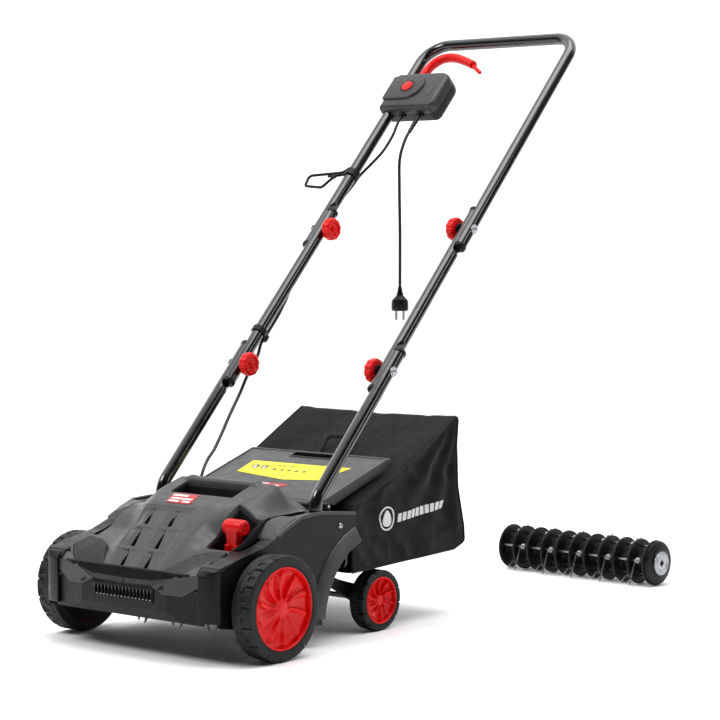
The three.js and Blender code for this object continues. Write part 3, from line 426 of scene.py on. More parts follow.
def dress(node, material, bevel=0.0, steps=2):
    """A CAD node whose shape is right keeps it and gets a finish and softer edges."""
    obj = frame["nodes"][node]
    obj.data.materials.clear()
    obj.data.materials.append(material)
    if bevel:
        weld = obj.modifiers.new("weld", "WELD")
        weld.merge_threshold = 1e-5
        soften(obj, bevel, steps)
on_top = partial(piece, body="top_handle", place=UPPER)


def wall(obj, thickness, offset):
    """Gives an open surface a thickness: offset -1 grows inward, 1 outward."""
    solid = obj.modifiers.new("wall", "SOLIDIFY")
    solid.thickness = thickness * MM
    solid.offset = offset


# ---- mains lead and motor cable
MAINS_RADIUS = 3.2
TILT = Matrix.Rotation(LEAN, 3, "X")
relief_end = UPPER_JOINT + TILT @ Vector((-104, 269.7, 0))
turn_down = relief_end - UP * 34 + Vector((0, -6, -26))
mains_route = smooth([relief_end, relief_end - UP * 12, turn_down, turn_down + Vector((0, -2, -60)),
    turn_down + Vector((0, 0, -150)), turn_down + Vector((0, 0, -262))], 40)
mains = piece("mains_lead", tube(mains_route, MAINS_RADIUS, 16), CORD, "top_handle", stands_for=["mains_cord"])
plug_top = mains_route[-1]
plug_profile = [(0, 2), (3.4, 2), (4.2, -1), (4.6, -4), (5.4, -10), (8, -17), (13, -22), (16.4, -25),
    (17.6, -30), (18, -40), (17.6, -46), (16.2, -48), (0, -48)]
plug_shape = skin([[(plug_top.x + r * c, plug_top.y + r * 0.86 * s, plug_top.z + h) for c, s in circle(40)]
    for r, h in plug_profile], capped=False)
for groove in range(3):
    low, high = 4.2 + groove * 0.9, 6.2 + groove * 1.1
    plug_shape = join(plug_shape, moved(lathe([(low, -0.9), (high, -0.5), (high, 0.5), (low, 0.9)], 32),
        plug_top.x, plug_top.y, plug_top.z - 5 - groove * 4, X_TO_DOWN))
plug = piece("mains_plug_body", plug_shape, BLACK, "top_handle", stands_for=["mains_plug"], angle=30)
pins = join(*[moved(lathe([(0, 0), (2.4, 0), (2.4, 18), (1.6, 19), (0, 19)], 20), plug_top.x + s * 9.5,
    plug_top.y, plug_top.z - 48, X_TO_DOWN) for s in (-1, 1)])
plug_pins = piece("mains_plug_pins", pins, ZINC, "top_handle")

MOTOR_CABLE_RADIUS = 3
upper_cable = [(-149, 332, 0), (-149, 300, 0), (-149, 268, -6), (-161, 232, -16), (-177, 198, -20),
    (-187, 172, -20.5), (-193, 126, -20.5), (-203, 60, -16), (-210, 20, -14), (-214, 4, -13), (-213, -6, -13),
    (-209, -30, -12), (-200, -62, -14), (-195, -92, -16), (-185, -150, -18.5), (-177, -210, -18.6),
    (-176.5, -262, -18.6), (-176.5, -271, -18.6)]
upper_run = smooth([UPPER_JOINT + TILT @ Vector(p) for p in upper_cable], 120)
lower_cable = [(-176.5, 82, -18.6), (-176.5, 67, -18.6), (-175, 42, -26), (-173.5, -5, -28.5), (-164, -48, -27),
    (-149, -110, -21), (-138, -155, -18), (-126, -198, -12)]
hood_entry = [(-112, 203, 300), (-100, 178, 282), (-95, 165, 263), (-94, 161, 246)]
lower_run = smooth([LOWER_JOINT + TILT @ Vector(p) for p in lower_cable] + hood_entry, 90)


def cable(name, run, stands_for):
    obj = mesh_piece(name, tube(run, MOTOR_CABLE_RADIUS, 14), CORD)
    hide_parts(*stands_for)
    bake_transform(obj)


cable("motor_cable_top", upper_run,
    ["motor_cable_upper", "motor_cable_mid"])
cable("motor_cable_bottom", lower_run,
    ["motor_cable_lower"])

# ---- deck
for node, finish, bevel, steps in (("deck_shell", BLACK, 1.6, 3), ("front_grille", DARK, 0.5, 2),
        ("front_axle", ZINC, 0.6, 2), ("rear_axle", ZINC, 0.4, 2), ("blade_reel", STEEL, 0.3, 2),
        ("reel_bearing_left", STEEL, 0.4, 2), ("reel_bearing_right", STEEL, 0.4, 2),
        ("reel_pulley", CAST, 0.4, 2), ("motor_body", CAST, 0.8, 2), ("motor_shaft", STEEL, 0.3, 2),
        ("drive_belt", RUBBER, 0.6, 2), ("flap_hinge_pin", ZINC, 0.4, 2), ("bag_frame", ZINC, 0.3, 2),
        ("rear_flap", GREY, 0.9, 3)):
    dress(node, finish, bevel, steps)


def plate(points, thickness, sink=3.0):
    """A flat patch on a surface: points run round its outline."""
    points = vectors(points)
    normal = Vector((0, 0, 0))
    for a, b in zip(points, points[1:] + points[:1]):
        normal += a.cross(b)
    normal.normalize()
    if normal.y > 0:
        normal.negate()
        points.reverse()
    return skin([[p - normal * sink for p in points], [p + normal * thickness for p in points]])


fender_low = plate([(70, -128.5, 126), (112, -121.5, 141), (168, -113, 150), (168, -114.5, 131),
    (134, -122, 113), (96, -128, 114.5), (84, -128.5, 120)], 1.6)
fender_high = plate([(112, -121.5, 141), (142, -107.5, 156), (168, -82, 171.5), (168.5, -104, 161),
    (168, -113, 150)], 1.6)
piece("fender_plates", both_sides(fender_low), PLATE, bevel=0.8)
piece("fender_shoulders", both_sides(fender_high), PLATE, bevel=0.8)
# dark patches on the fenders: painted shade where the slots open
openings = []
for x, y, z, rise in ((-161, -103, 161, 0.75), (-162, -116.5, 124, 0.5), (-94, -129.5, 122, 0.5),
        (90, -129.5, 124, 0.6)):
    c, s = cos(rise), sin(rise)
    ring = [(6.5 * u, 2.2 * v) for u, v in circle(20)]
    openings.append(plate([(x + u * c - v * s, y - 0.6, z + u * s + v * c) for u, v in ring], 0.5, 4))
piece("fender_slots", join(*openings), DARK, bevel=0.2)

# corner bumpers in front of the wheels
corner = [(168, -120.5), (186, -117), (200, -112.5), (206, -106), (206, -62), (168, -62)]
bumper = skin([[(x, y, 72) for x, y in corner], [(x, y, 150) for x, y in corner],
    [(x, max(y, -112) if y < -100 else y, 161 if y < -100 else 176) for x, y in corner]])
piece("corner_bumpers", both_sides(bumper), BLACK, bevel=2.2)

# the dark brow under the hood's tongue
brow = []
brow_path = [((-0.01, -113, 141), (-0.01, -121, 135), (-0.01, -129, 124)),
    ((60, -113, 142), (64, -121, 136), (70, -129, 126)), ((84, -88, 160), (95, -105, 152), (112, -122, 141)),
    ((106, -62, 175), (120, -78, 168), (142, -108, 156)), ((130, -48, 181), (142, -64, 175), (168, -84, 170)),
    ((166, -46, 183), (168, -60, 177), (170, -78, 171))]
for inner, crease, outer in brow_path:
    inner, crease, outer = Vector(inner), Vector(crease), Vector(outer)
    brow.append([inner + Vector((0, 6, -6)), inner, crease, outer, outer + Vector((0, 9, -4))])
piece("hood_brow", both_sides(skin(brow)), DARK, bevel=1.8)

# grille bars, the row of studs over them and the sill under them
GRILLE_START, GRILLE_PITCH = -63.75, 8.5
GRILLE_X = [GRILLE_START + i * GRILLE_PITCH for i in range(17)]
for name, xs, low, high, y0, y1, z0, z1, finish, bevel in (
        ("grille_bars", GRILLE_X, -5.1, -3.4, -127.9, -126.6, 99, 118, BLACK, 0.4),
        ("grille_tips", GRILLE_X, -4.9, -3.6, -128.3, -127.4, 112, 118, CAST, 0.2),
        ("grille_sill", GRILLE_X[:-1], -2.4, 2.4, -126, -123, 99.6, 101.2, ZINC, 0.3)):
    piece(name, join(*[block(x + low, x + high, y0, y1, z0, z1) for x in xs]), finish, bevel=bevel)

# arches over the rear wheels, with a flange that stands out
ARCH_Y, ARCH_Z = 300, 35
arch = []
for i in range(33):
    a = radians(175 - 66 * i / 32)
    arch.append([(x, ARCH_Y + r * cos(a), ARCH_Z + r * sin(a))
        for x, r in ((200, 145.5), (214, 146), (215.5, 148), (214.5, 152), (209, 171), (206, 174), (200, 174))])
piece("wheel_arches", both_sides(skin(arch)), PLATE, angle=50)
piece("deck_side_edges", both_sides(prism([(40, 199), (72, 215), (105, 227), (150, 229), (186, 226), (248, 220),
    (248, 226), (186, 232), (150, 235), (102, 233), (70, 221), (38, 205)], 197, 207)), GREY, bevel=2)

# a faceted ridge between the lever and the side
facet = [[(160, 34, 196), (164, 34, 198), (203, 30, 196), (205.6, 30, 194)],
    [(160, 50, 208), (168, 52, 224), (198, 46, 214), (206, 44, 205)],
    [(160, 66, 214), (168, 66, 229), (200, 64, 222), (206, 62, 214)],
    [(160, 92, 224), (168, 92, 231), (200, 92, 231), (206, 92, 224)]]
piece("side_ridges", both_sides(skin(facet)), GREY, bevel=1.6)

screw = lathe([(0, 204), (5, 204), (5, 206.2), (4, 207.6), (1.5, 208.2), (1.4, 206.6), (0, 206.6)], 28)
piece("deck_screws", both_sides(join(moved(screw, 0, 205, 205), moved(screw, 0, 60, 150))), ZINC)
socket = lathe([(12.6, 222), (17.5, 222), (18.5, 226), (18.5, 231), (16.5, 233), (13.2, 233), (12.6, 230),
    (12.6, 222)], 40)
piece("tube_collars", join(*[moved(socket, s * 186.5, 160, 0, X_TO_UP) for s in (-1, 1)]), BLACK)

# ---- hood
CROWN = [(-114, 139), (-80, 164), (-40, 193), (0, 219), (40, 243), (90, 262), (138, 278), (160, 262), (184, 244)]
SKIRT = [(-114, 130), (-90, 150), (-50, 172), (0, 190), (32, 214), (60, 229), (150, 232), (184, 230)]
TOP_WIDTH = [(-114, 57), (0, 66), (40, 92), (80, 108), (184, 110)]
FLANK = [(-114, 40), (0, 52), (60, 50), (184, 48)]


def rounded_table(table):
    ys = np.arange(-130, 200, 2.0)
    values = np.interp(ys, [r[0] for r in table], [r[1] for r in table])
    kernel = np.hanning(13)
    padded = np.pad(values, 6, mode="edge")
    return ys, np.convolve(padded, kernel / kernel.sum(), mode="valid")


CURVES = {name: rounded_table(t) for name, t in (("crown", CROWN), ("skirt", SKIRT), ("top", TOP_WIDTH),
    ("flank", FLANK))}


def curve_at(name, y):
    return float(np.interp(y, *CURVES[name]))


def hood_height(x, y):
    across = (abs(x) - curve_at("top", y)) / curve_at("flank", y)
    crown, skirt = curve_at("crown", y), curve_at("skirt", y)
    if 90 < y < 120:
        crown = max(crown, table_value(CROWN, y) - 3)
    return crown + (skirt - crown) * ease(0, 1, across)


WELL_FLOOR = 157
SLIT_DEPTH, RECESS_DEPTH, BROW_DROP = 14, 30, 16
# hood faces sunk deeper than these depths get the dark material as painted shade
PAINTED_SHADE_BELOW, PAINTED_SHADE_BELOW_IN_FRONT = -7, -7.5


def window(v, low, high, edge):
    return ease(low - edge, low + edge, v) * (1 - ease(high - edge, high + edge, v))


def hood_detail(x, y):
    """How far below (negative) or above the plain surface a point of the hood lies."""
    d = 0.0
    # a sunken panel of two columns and three rows of louvred pockets, each with a slit down its middle
    shift = -24 * min(max((y + 105) / 77, 0), 1.45)
    u = x - shift
    panel = window(u, -60, 60, 1.5) * window(y, -110, 27, 1.5)
    d += 2.6 * (1 - panel) * (1 - ease(20, 60, y))
    for low, high, slit in ((-56, -5, -30), (4, 56, 27)):
        for front, rear in ((-106, -69), (-62, -22), (-15, 22)):
            inside = window(u, low, high, 0.9) * window(y, front, rear, 0.9)
            if inside:
                v = (y - front) / (rear - front)
                if u < slit:
                    d -= inside * (1.4 + 4.6 * (u - low) / (slit - low))
                else:
                    d -= inside * 1.8
                half = 4.6 * (1 - v ** 2) if 0.04 < v < 0.98 else 0
                middle = slit - 1 + 1.5 * (1 - v)
                if half > 0.2:
                    d -= SLIT_DEPTH * window(u, middle - half, middle + half, 0.7)
    # outside the tongue's front edge the surface drops away under the brow
    if y < -40:
        outside = abs(x) - float(np.interp(y, (-114, -60, -46, -40), (62, 107, 130, 170)))
        d -= BROW_DROP * ease(0, 7, outside)
    # carrying recess with a raised bar behind it
    d -= RECESS_DEPTH * window(x, -80, 66, 2.0) * window(y, 76, 119, 2.0)
    d += 4.5 * window(x, -92, 80, 5.0) * window(y, 122, 147, 2.5)
    d -= 2.5 * window(x, -78, 66, 2.0) * window(y, 129, 141, 2.0)
    # height lever well
    well = ease(102, 109, x) * (1 - ease(158, 160, x)) * ease(-29, -27, y) * (1 - ease(48, 58, y))
    if well > 0.01:
        d = d * (1 - well) + well * (WELL_FLOOR - hood_height(x, y))
    return d


def hood_top(x, y):
    return hood_height(x, y) + hood_detail(x, y)


def grid_lines(low, high, fine_low, fine_high, fine, coarse):
    stops = list(np.arange(low, fine_low, coarse)) + list(np.arange(fine_low, fine_high, fine))
    return stops + list(np.linspace(fine_high, high, max(int((high - fine_high) / coarse), 1) + 1))


hood_x = grid_lines(-161, 161, -96, 161, 1.35, 2.6)
hood_y = grid_lines(-114, 184, -108, 152, 1.3, 2.5)
hood_rows = [[(x, y, hood_top(x, y)) for x in hood_x] for y in hood_y]
hood_shape = skin(hood_rows, closed=False, capped=False)
border = ([r[0] for r in hood_rows] + hood_rows[-1][1:] + [r[-1] for r in hood_rows[::-1]][1:]
    + hood_rows[0][::-1][1:-1])
drop = [(x, y, max(z - 16, 124)) for x, y, z in border]
hood_shape = join(hood_shape, skin([border, drop], capped=False))
hood = piece("hood_skin", hood_shape, GREY, stands_for=["motor_hood"], angle=42, upward=True)
# faces sunk past those depths are painted dark as shade: the pocket slits, the carrying recess and the lever
# well
hood.data.materials.append(DARK)
to_machine = MACHINE.inverted()
for face in hood.data.polygons:
    spot = to_machine @ face.center
    sunk = hood_detail(spot.x, spot.y)
    if sunk < PAINTED_SHADE_BELOW and spot.y > -40 or sunk < PAINTED_SHADE_BELOW_IN_FRONT and abs(spot.x) < 62:
        face.material_index = 1
wall(hood, 1.6, -1)


def on_hood(outline, lift, steps=14):
    """A thin label that follows the hood: outline is four (x, y) corners."""
    a, b, c, d = (Vector(p) for p in outline)
    rows = []
    for j in range(steps + 1):
        left, right = a.lerp(d, j / steps), b.lerp(c, j / steps)
        rows.append([left.lerp(right, i / steps) for i in range(steps + 1)])
    return skin([[(p.x, p.y, hood_top(p.x, p.y) + lift) for p in row] for row in rows], closed=False,
        capped=False)


def label(name, outlines, material, lift):
    wall(piece(name, join(*[on_hood(o, lift) for o in outlines]), material, upward=True), 0.3, 1)


label("hood_label", [((-57, 36), (2, 36), (-6, 71), (-68, 70))], LABEL_RED, 0.3)
label("hood_label_bars", [((-62, 61), (-26, 61), (-27, 66), (-63, 66)),
    ((-54, 40), (-30, 40), (-31, 45), (-55, 45)), ((-22, 40), (-4, 40), (-5, 45), (-23, 45)),
    ((-57, 50), (-6, 50), (-7, 55), (-58, 55))], WHITE, 0.65)

# the floors of the lever well and the carrying recess, in the dark material as painted shade in those hollows
piece("lever_well_floor", block(110, 157.5, -26, 49, 150, 157.6), DARK, bevel=0.6)
piece("recess_floor", block(-79, 65, 80, 116, 228, 238), DARK, bevel=1)

# ---- height lever
grip = moved(lathe([(0, 112), (3.4, 112), (3.6, 115), (6, 115), (6.2, 112.2), (11.4, 112.4), (13, 114.4),
    (13.8, 118), (13.8, 150), (13, 153.6), (11.4, 155.6), (6.2, 155.8), (6, 153), (3.6, 153), (3.4, 156),
    (0, 156)], 48), 0, 12, 216)
stem = skin([[(x, y, z) for x, y in ((135 - w, 8 - d), (135 + w, 8 - d), (135 + w, 8 + d), (135 - w, 8 + d))]
    for w, d, z in ((12.5, 9, 169), (13.5, 10, 174), (11, 9, 194), (13.4, 10, 206), (15, 11, 213))])
feet = join(*[block(135 + s * 8.5 - 5, 135 + s * 8.5 + 5, -3.5, 5, 168, 188) for s in (-1, 1)])
piece("height_lever_body", join(stem, feet), RED, "lever", bevel=1.6, stands_for=["height_lever"])
piece("height_lever_grip", grip, RED, "lever", bevel=0.3)
ribs = join(*[block(118, 150, 12 - 8.6 + k * 8, 12 - 7.4 + k * 8, 227.4 - abs(k - 1) * 2.6,
    230.6 - abs(k - 1) * 2.8) for k in range(3)])
piece("height_lever_ribs", ribs, RED, "lever", bevel=0.4)
screw = lathe([(0, 0), (3.2, 0), (3, 1.4), (1, 1.8), (0, 1)], 24)
piece("height_lever_screw", moved(screw, 144, -3.4, 180, X_TO_FRONT), ZINC, "lever")


# ---- wheels
def tyre_shape(radius, inner, face, rim, lugs, detail):
    """The tread has a smooth inner band, stepped grooves, pockets and notches on the outer half."""
    width = face - inner
    segments = lugs * detail
    stations = ([(rim + 0.4, 0.6), (radius - 9, 0.2), (radius - 3.2, 0.4), (radius - 1.4, 1.4)] + [(radius, w)
        for w in np.linspace(2.6, width - 3.4, 26)] + [(radius - 0.8, width - 1.6), (radius - 2.6, width - 0.5),
        (radius - 7, width), (rim + 3.6, width), (rim + 2.8, width - 0.9), (rim + 2, width - 0.4),
        (rim + 0.4, width - 0.8), (rim + 0.4, width - 6)])

    def shaped(r, w, a):
        if r < radius - 8 or w < 0.9:
            return r
        p = (a / (2 * pi) * lugs) % 1.0
        u = w / width
        cut = 2.6 * window(p, 0.12, 0.42, 0.02) * window(u, 0.52, 0.82, 0.02)
        cut = max(cut, 3.4 * window(p, 0.62, 0.70, 0.02) * window(u, 0.55, 1.2, 0.02))
        cut = max(cut, 1.8 * window(p, 0.70, 0.98, 0.015) * window(u, 0.50, 0.54, 0.012))
        cut = max(cut, 1.8 * window(p, 0.93, 0.98, 0.015) * window(u, 0.26, 0.54, 0.015))
        cut = max(cut, 1.0 * window(u, 0.235, 0.265, 0.012), 0.9 * (1 - ease(0.22, 0.26, u)))
        return r - cut

    rings = []
    for r, w in stations:
        rings.append([(inner + w, shaped(r, w, a) * cos(a), shaped(r, w, a) * sin(a))
            for a in (2 * pi * i / segments for i in range(segments))])
    return skin(rings + [rings[0]], capped=False)


def hub_shape(rim, inner, face, axle, blades=10):
    segments = 240
    radii = [0.0, 3, 6, 8.5, 10] + list(np.linspace(11.5, rim - 7, 30)) + [rim - 5.6, rim - 4.6]

    def depth(r, a):
        u = r / rim
        dish = 5.0 + 6.6 * ease(0.10, 0.40, u) - 3.2 * ease(0.5, 0.92, u)
        if r < 10.5:
            dish -= 0.7 * (1 - ease(8, 10.5, r))
        p = (a / (2 * pi) * blades + 0.35 * u * u) % 1.0
        blade = (0.25 * ease(0.0, 0.45, p) + 0.75 * ease(0.5, 0.80, p)) * (1 - ease(0.86, 0.99, p))
        height = 7.2 * ease(0.15, 0.34, u) * (1 - ease(0.80, 0.93, u))
        return face - dish + blade * height

    angles = [2 * pi * i / segments for i in range(segments)]
    front = [[(depth(r, a), r * cos(a), r * sin(a)) for a in angles] for r in radii]
    rest = [(rim - 4.2, face - 6), (rim - 3.2, face - 1.2), (rim - 2.6, face - 0.3), (rim - 1.2, face - 0.1),
        (rim - 0.4, face - 0.8), (rim, face - 2.4), (rim, inner + 3), (rim - 4, inner + 2), (rim - 6, inner + 4),
        (rim - 7, face - 16), (axle + 9, face - 15), (axle + 8.4, inner + 2.4), (axle + 7.6, inner + 1.8),
        (axle + 0.4, inner + 1.8), (axle + 0.4, face - 11), (0, face - 11)]
    return skin(front + [[(x, r * cos(a), r * sin(a)) for a in angles] for r, x in rest], capped=False)


for prefix, radius, inner, face, rim, lugs, detail, y, axle in (("front", 90, 214, 256, 71, 16, 26, 0, 6),
        ("rear", 55, 161, 195, 43, 12, 22, 335, 5)):
    tread = moved(tyre_shape(radius, inner, face, rim, lugs, detail), 0, y, radius)
    disc = moved(hub_shape(rim, inner, face, axle), 0, y, radius)
    cover = moved(lathe([(axle + 8, inner + 3), (axle + 8, inner + 1), (rim * 0.6, inner + 0.6),
        (rim - 8, inner + 0.8), (rim - 1, inner + 1.6), (rim - 1, inner + 3.4), (axle + 8, inner + 3)], 96), 0,
        y, radius)
    for side, hand in SIDES:
        body = f"wheel_{prefix}_{hand}"
        piece(f"{prefix}_tread_{hand}", sided(tread, side), TYRE, body, stands_for=[f"{prefix}_tyre_{hand}"],
            angle=38)
        piece(f"{prefix}_hub_{hand}", sided(disc, side), RED, body, stands_for=[f"{prefix}_wheel_{hand}"],
            angle=50)
        piece(f"{prefix}_hub_back_{hand}", sided(cover, side), BLACK, body)

# ---- flap dressing, in the flap's own slope
FLAP = MACHINE @ Matrix.Translation((0, 197, 238)) @ Matrix.Rotation(atan2(66, 200), 4, "X")
on_flap = partial(piece, body="flap", place=FLAP)


def flap_patch(outline, low, high):
    return prism(outline, low, high, "z")


def disc_outline(x, y, r, n=32, start=0.0):
    return [(x + r * c, y + r * s) for c, s in circle(n, start)]


on_flap("flap_label", flap_patch([(-116, 97), (12, 80), (88, 90), (120, 150), (-118, 148)], 3.8, 4.45), YELLOW,
    bevel=0.15)
signs = [flap_patch(disc_outline(x, 124, 8.4), 4.2, 4.62) for x in (-92, -70)]
signs += [flap_patch(disc_outline(x, 118, 6.5, 3, pi / 2), 4.2, 4.62) for x in (-40, -22, -4, 14, 32)]
signs += [flap_patch([(x, 132), (x + 5, 132), (x + 7, 138), (x + 2, 138)], 4.2, 4.62) for x in (-44, -32, -14)]
on_flap("flap_label_signs", join(*signs), INK)
figures = [flap_patch(disc_outline(x, 125.5, 2.6), 4.5, 4.8) for x in (-92, -70)]
figures += [flap_patch([(x - 4.4, 117.8), (x + 4.4, 117.8), (x + 3, 122), (x - 3, 122)], 4.5, 4.8)
    for x in (-92, -70)]
on_flap("flap_label_figures", join(*figures), WHITE)
on_flap("flap_tag", flap_patch([(-36, 62), (42, 62), (24, 41), (4, 44)], 3.8, 4.4), LABEL_RED)
on_flap("flap_tag_bars", join(flap_patch([(-26, 57), (-4, 57), (-2, 60), (-29, 60)], 4.2, 4.6),
    flap_patch([(4, 50), (26, 52), (24, 55), (4, 54)], 4.2, 4.6)), WHITE)
flap_ribs = [block(-168, -164, 8, 204, 2, 5.4), block(164, 168, 8, 204, 2, 5.4),
    block(-164, 164, 200, 204.5, 2, 5.2)]
on_flap("flap_border", join(*flap_ribs), GREY, bevel=1.1)
grip_rim = skin([[(-x, y0, z), (x, y0, z), (x, y1, z), (-x, y1, z)]
    for x, y0, y1, z in ((56, 179, 201, 3.6), (55, 179.6, 200.4, 5.6), (52, 182, 199, 5.2), (52, 182, 199, 2))],
    capped=False)
on_flap("flap_grip_rim", grip_rim, GREY, bevel=0.4)
knuckle = lathe([(3.2, -9), (7, -9), (7.6, -8), (7.6, 8), (7, 9), (3.2, 9)], 28)
on_flap("flap_knuckles", join(*[moved(knuckle, x) for x in (-150, -90, 90, 150)]), BLACK)

# ---- grass bag
BAG_SIDE = [(252, 226), (262, 236), (392, 287), (571, 381), (566, 322), (571, 240), (590, 164), (592, 134),
    (560, 122), (440, 116), (345, 114), (252, 112)]
BAG_MIDDLE = Vector((420, 205))
BAG_HALF = 190
TOP_SAG, REAR_SAG = 7, 5
REAR_TOP = Vector((571, 381))
side_line = rounded([(0, y, z) for y, z in BAG_SIDE], 7, 4)
side_line = [Vector((p.y, p.z)) for p in spaced(side_line, 170)]


def bag_point(s, x):
    """A point on the fabric: s runs along the side outline, x across. The panels sag and wrinkle."""
    p = side_line[s]
    inward = (BAG_MIDDLE - p).normalized()
    across = x / BAG_HALF
    top = ease(240, 300, p.x) * ease(250, 300, p.y) if p.y > 240 else 0
    back = ease(560, 575, p.x)
    belly = 1 - across * across
    rise = min(max((p.y - 130) / 250, 0), 1)
    sag = top * TOP_SAG * belly + back * (1 - top) * REAR_SAG * belly * sin(rise * pi)
    q = Vector((p.x * 0.011, p.y * 0.011, x * 0.013))
    fold = noise.noise(q + Vector((3.1, 0, 0))) * 4.2 + noise.noise(q * 2.7) * 2.2 + noise.noise(q * 6.1) * 0.7
    fold *= min(1, (1 - abs(across)) * 6)
    depth = sag + fold + 2.0
    edge = ease(0.965, 1.0, abs(across)) * 2.0
    p = p + inward * (depth + edge)
    return Vector((x, p.x, p.y))


stations = [BAG_HALF * sin(pi / 2 * t) if abs(t) < 1 else BAG_HALF * t for t in np.linspace(-1, 1, 90)]
band = [[bag_point(s, x) for s in range(len(side_line))] for x in stations]
bag_shape = skin(band, closed=False, capped=False)


def side_panel(edge_line, side):
    """The gathered end panel, from its seam in to the middle."""
    rings, front_steps = 34, 26
    start, end = edge_line[-1], edge_line[0]
    outline = list(edge_line) + [start.lerp(end, k / front_steps) for k in range(1, front_steps)]
    centre = Vector((0, BAG_MIDDLE.x, BAG_MIDDLE.y))
    out = []
    for k in range(rings + 1):
        t = k / rings
        ring = []
        for p in outline:
            flat = Vector((0, p.y, p.z)).lerp(centre, t)
            q = Vector((flat.y * 0.009, flat.z * 0.009, side * 4.0))
            run = Vector((flat.y * 0.004 + flat.z * 0.016, flat.z * 0.004 - flat.y * 0.010, side * 2.0))
            fold = (noise.noise(q) * 6.0 + (0.35 - abs(noise.noise(run * 1.6))) * 8.0
                + noise.noise(q * 3.1) * 2.2 + (0.3 - abs(noise.noise(q * 2.0))) * 3.0
                + noise.noise(q * 7.3) * 0.7)
            # the cloth is stiffer where it is printed
            fold *= 1 - 0.8 * exp(-((flat.y - 430) / 110) ** 2 - ((flat.z - 198) / 40) ** 2)
            # long creases hang from the top rear corner
            reach = REAR_TOP - Vector((flat.y, flat.z))
            bearing = atan2(reach.y, reach.x)
            fold += 2.6 * sin(bearing * 17) * ease(20, 90, reach.length) * (1 - ease(150, 330, reach.length))
            deep = 1.5 + 5.5 * ease(0, 0.5, t)
            grow = ease(0, 0.14, t)
            ring.append(Vector((side * (BAG_HALF - 0.6 - (deep - fold) * grow), flat.y, flat.z)))
        out.append(ring)
    return skin(out, closed=True, capped=False)


bag_shape = join(bag_shape, side_panel(band[-1], 1), side_panel(band[0], -1))
bag = piece("bag_shell", bag_shape, FABRIC, "bag", stands_for=["grass_bag"], angle=60)
uv = bag.data.uv_layers.new(name="UVMap")
for poly in bag.data.polygons:
    n = poly.normal
    for loop in poly.loop_indices:
        v = bag.data.vertices[bag.data.loops[loop].vertex_index].co
        uv.data[loop].uv = (v.y, v.z) if abs(n.x) > 0.6 else ((v.x, v.y) if abs(n.z) > 0.5 else (v.x, v.z))
wall(bag, 1.2, -1)
for side, hand in reversed(SIDES):
    seam = [p + Vector((side * -0.2, 0, 0)) for p in (band[-1] if side > 0 else band[0])]
    piece(f"bag_piping_{hand}", tube(seam, 1.9, 10), WEBBING, "bag")
mouth = [bag_point(0, x) - Vector((0, 0.5, 0)) for x in stations]
piece("bag_top_hem", tube(mouth, 2.4, 8, 0.5, (0, 1, 0)), WEBBING, "bag")
rear_edge = min(range(len(side_line)), key=lambda i: (side_line[i] - REAR_TOP).length)
rear_seam = [bag_point(rear_edge, x) + Vector((0, 0.6, 0.6)) for x in stations[2:-2]]
piece("bag_rear_seam", tube(rear_seam, 1.5, 8), WEBBING, "bag")
strap = rounded([(-32, 430, 300), (-31, 452, 333), (31, 452, 333), (32, 430, 300)], 11, 6)
piece("bag_strap", tube(strap, 5.2, 14, 0.42, (0, 0.8, -0.6)), WEBBING, "bag", stands_for=["bag_carry_loop"])
bag_side_points = [tuple(p) for p in side_panel(band[-1], 1)[0]]


def side_x(y, z):
    """Where the right side panel's fabric lies."""
    return min(bag_side_points, key=lambda p: (p[1] - y) ** 2 + (p[2] - z) ** 2)[0]


def printed(outlines):
    """Flat generic marks that follow the side panel."""
    shapes = []
    for outline in outlines:
        ring = [(side_x(y, z) + 1.5, y, z) for y, z in outline]
        shapes.append(skin([[(x - 2.2, y, z) for x, y, z in ring], ring]))
    return join(*shapes)


def ring_marks(y, z, r, width, count):
    marks = []
    for i in range(count):
        a0, a1 = 2 * pi * i / count, 2 * pi * (i + 0.98) / count
        middle = (a0 + a1) / 2
        marks.append([(y + rr * cos(a), z + rr * sin(a))
            for rr, a in ((r, a0), (r, middle), (r, a1), (r - width, a1), (r - width, middle), (r - width, a0))])
    return marks


marks = ring_marks(362, 200, 22, 3, 28)
marks.append([(362 + 12 * c * (1 - 0.35 * s), 200 + 15 * s) for c, s in circle(24)])
for i in range(10):
    y0 = 394 + i * 13.5
    marks.append([(y0, 190 + i * 1.4), (y0 + 9.5, 191 + i * 1.4), (y0 + 11, 206 + i * 1.4),
        (y0 + 1.5, 205 + i * 1.4)])
piece("bag_print_mark", printed(marks), PRINT, "bag")


# ---- handle tubes
TUBE_RADIUS = 12
OVERLAP = 46
OUTER_X, MID_X = 186.5, 178
CONTACT_X = (OUTER_X + MID_X) / 2


def pressed(shape, x, joint):
    """Flattens the side of a tube that faces the other tube, near a bolted joint at local y = joint."""
    points, faces = shape
    side = copysign(1, x)
    toward = copysign(1, CONTACT_X - abs(x))
    flat = CONTACT_X - toward * 0.2
    out = []
    for p in points:
        p = Vector(p)
        if copysign(1, p.x) == side:
            press = 1 - ease(49, 64, abs(p.y - joint))
            beyond = (abs(p.x) - flat) * toward
            if press > 0 and beyond > 0 and abs(abs(p.x) - abs(x)) < 14:
                p.x = side * (abs(p.x) - toward * beyond * press)
                p.z *= 1 + 0.05 * press
        out.append(p)
    return out, faces


def tube_run(points, step=4.0):
    fine = [Vector(points[0])]
    for a, b in zip(points, points[1:]):
        a, b = Vector(a), Vector(b)
        n = max(int((b - a).length / step), 1)
        fine += [a.lerp(b, k / n) for k in range(1, n + 1)]
    return fine


def painted_tube(points, joints, x):
    shape = tube(tube_run(points), TUBE_RADIUS, 40, side=(1, 0, 0))
    for joint in joints:
        shape = pressed(shape, x, joint)
    return shape


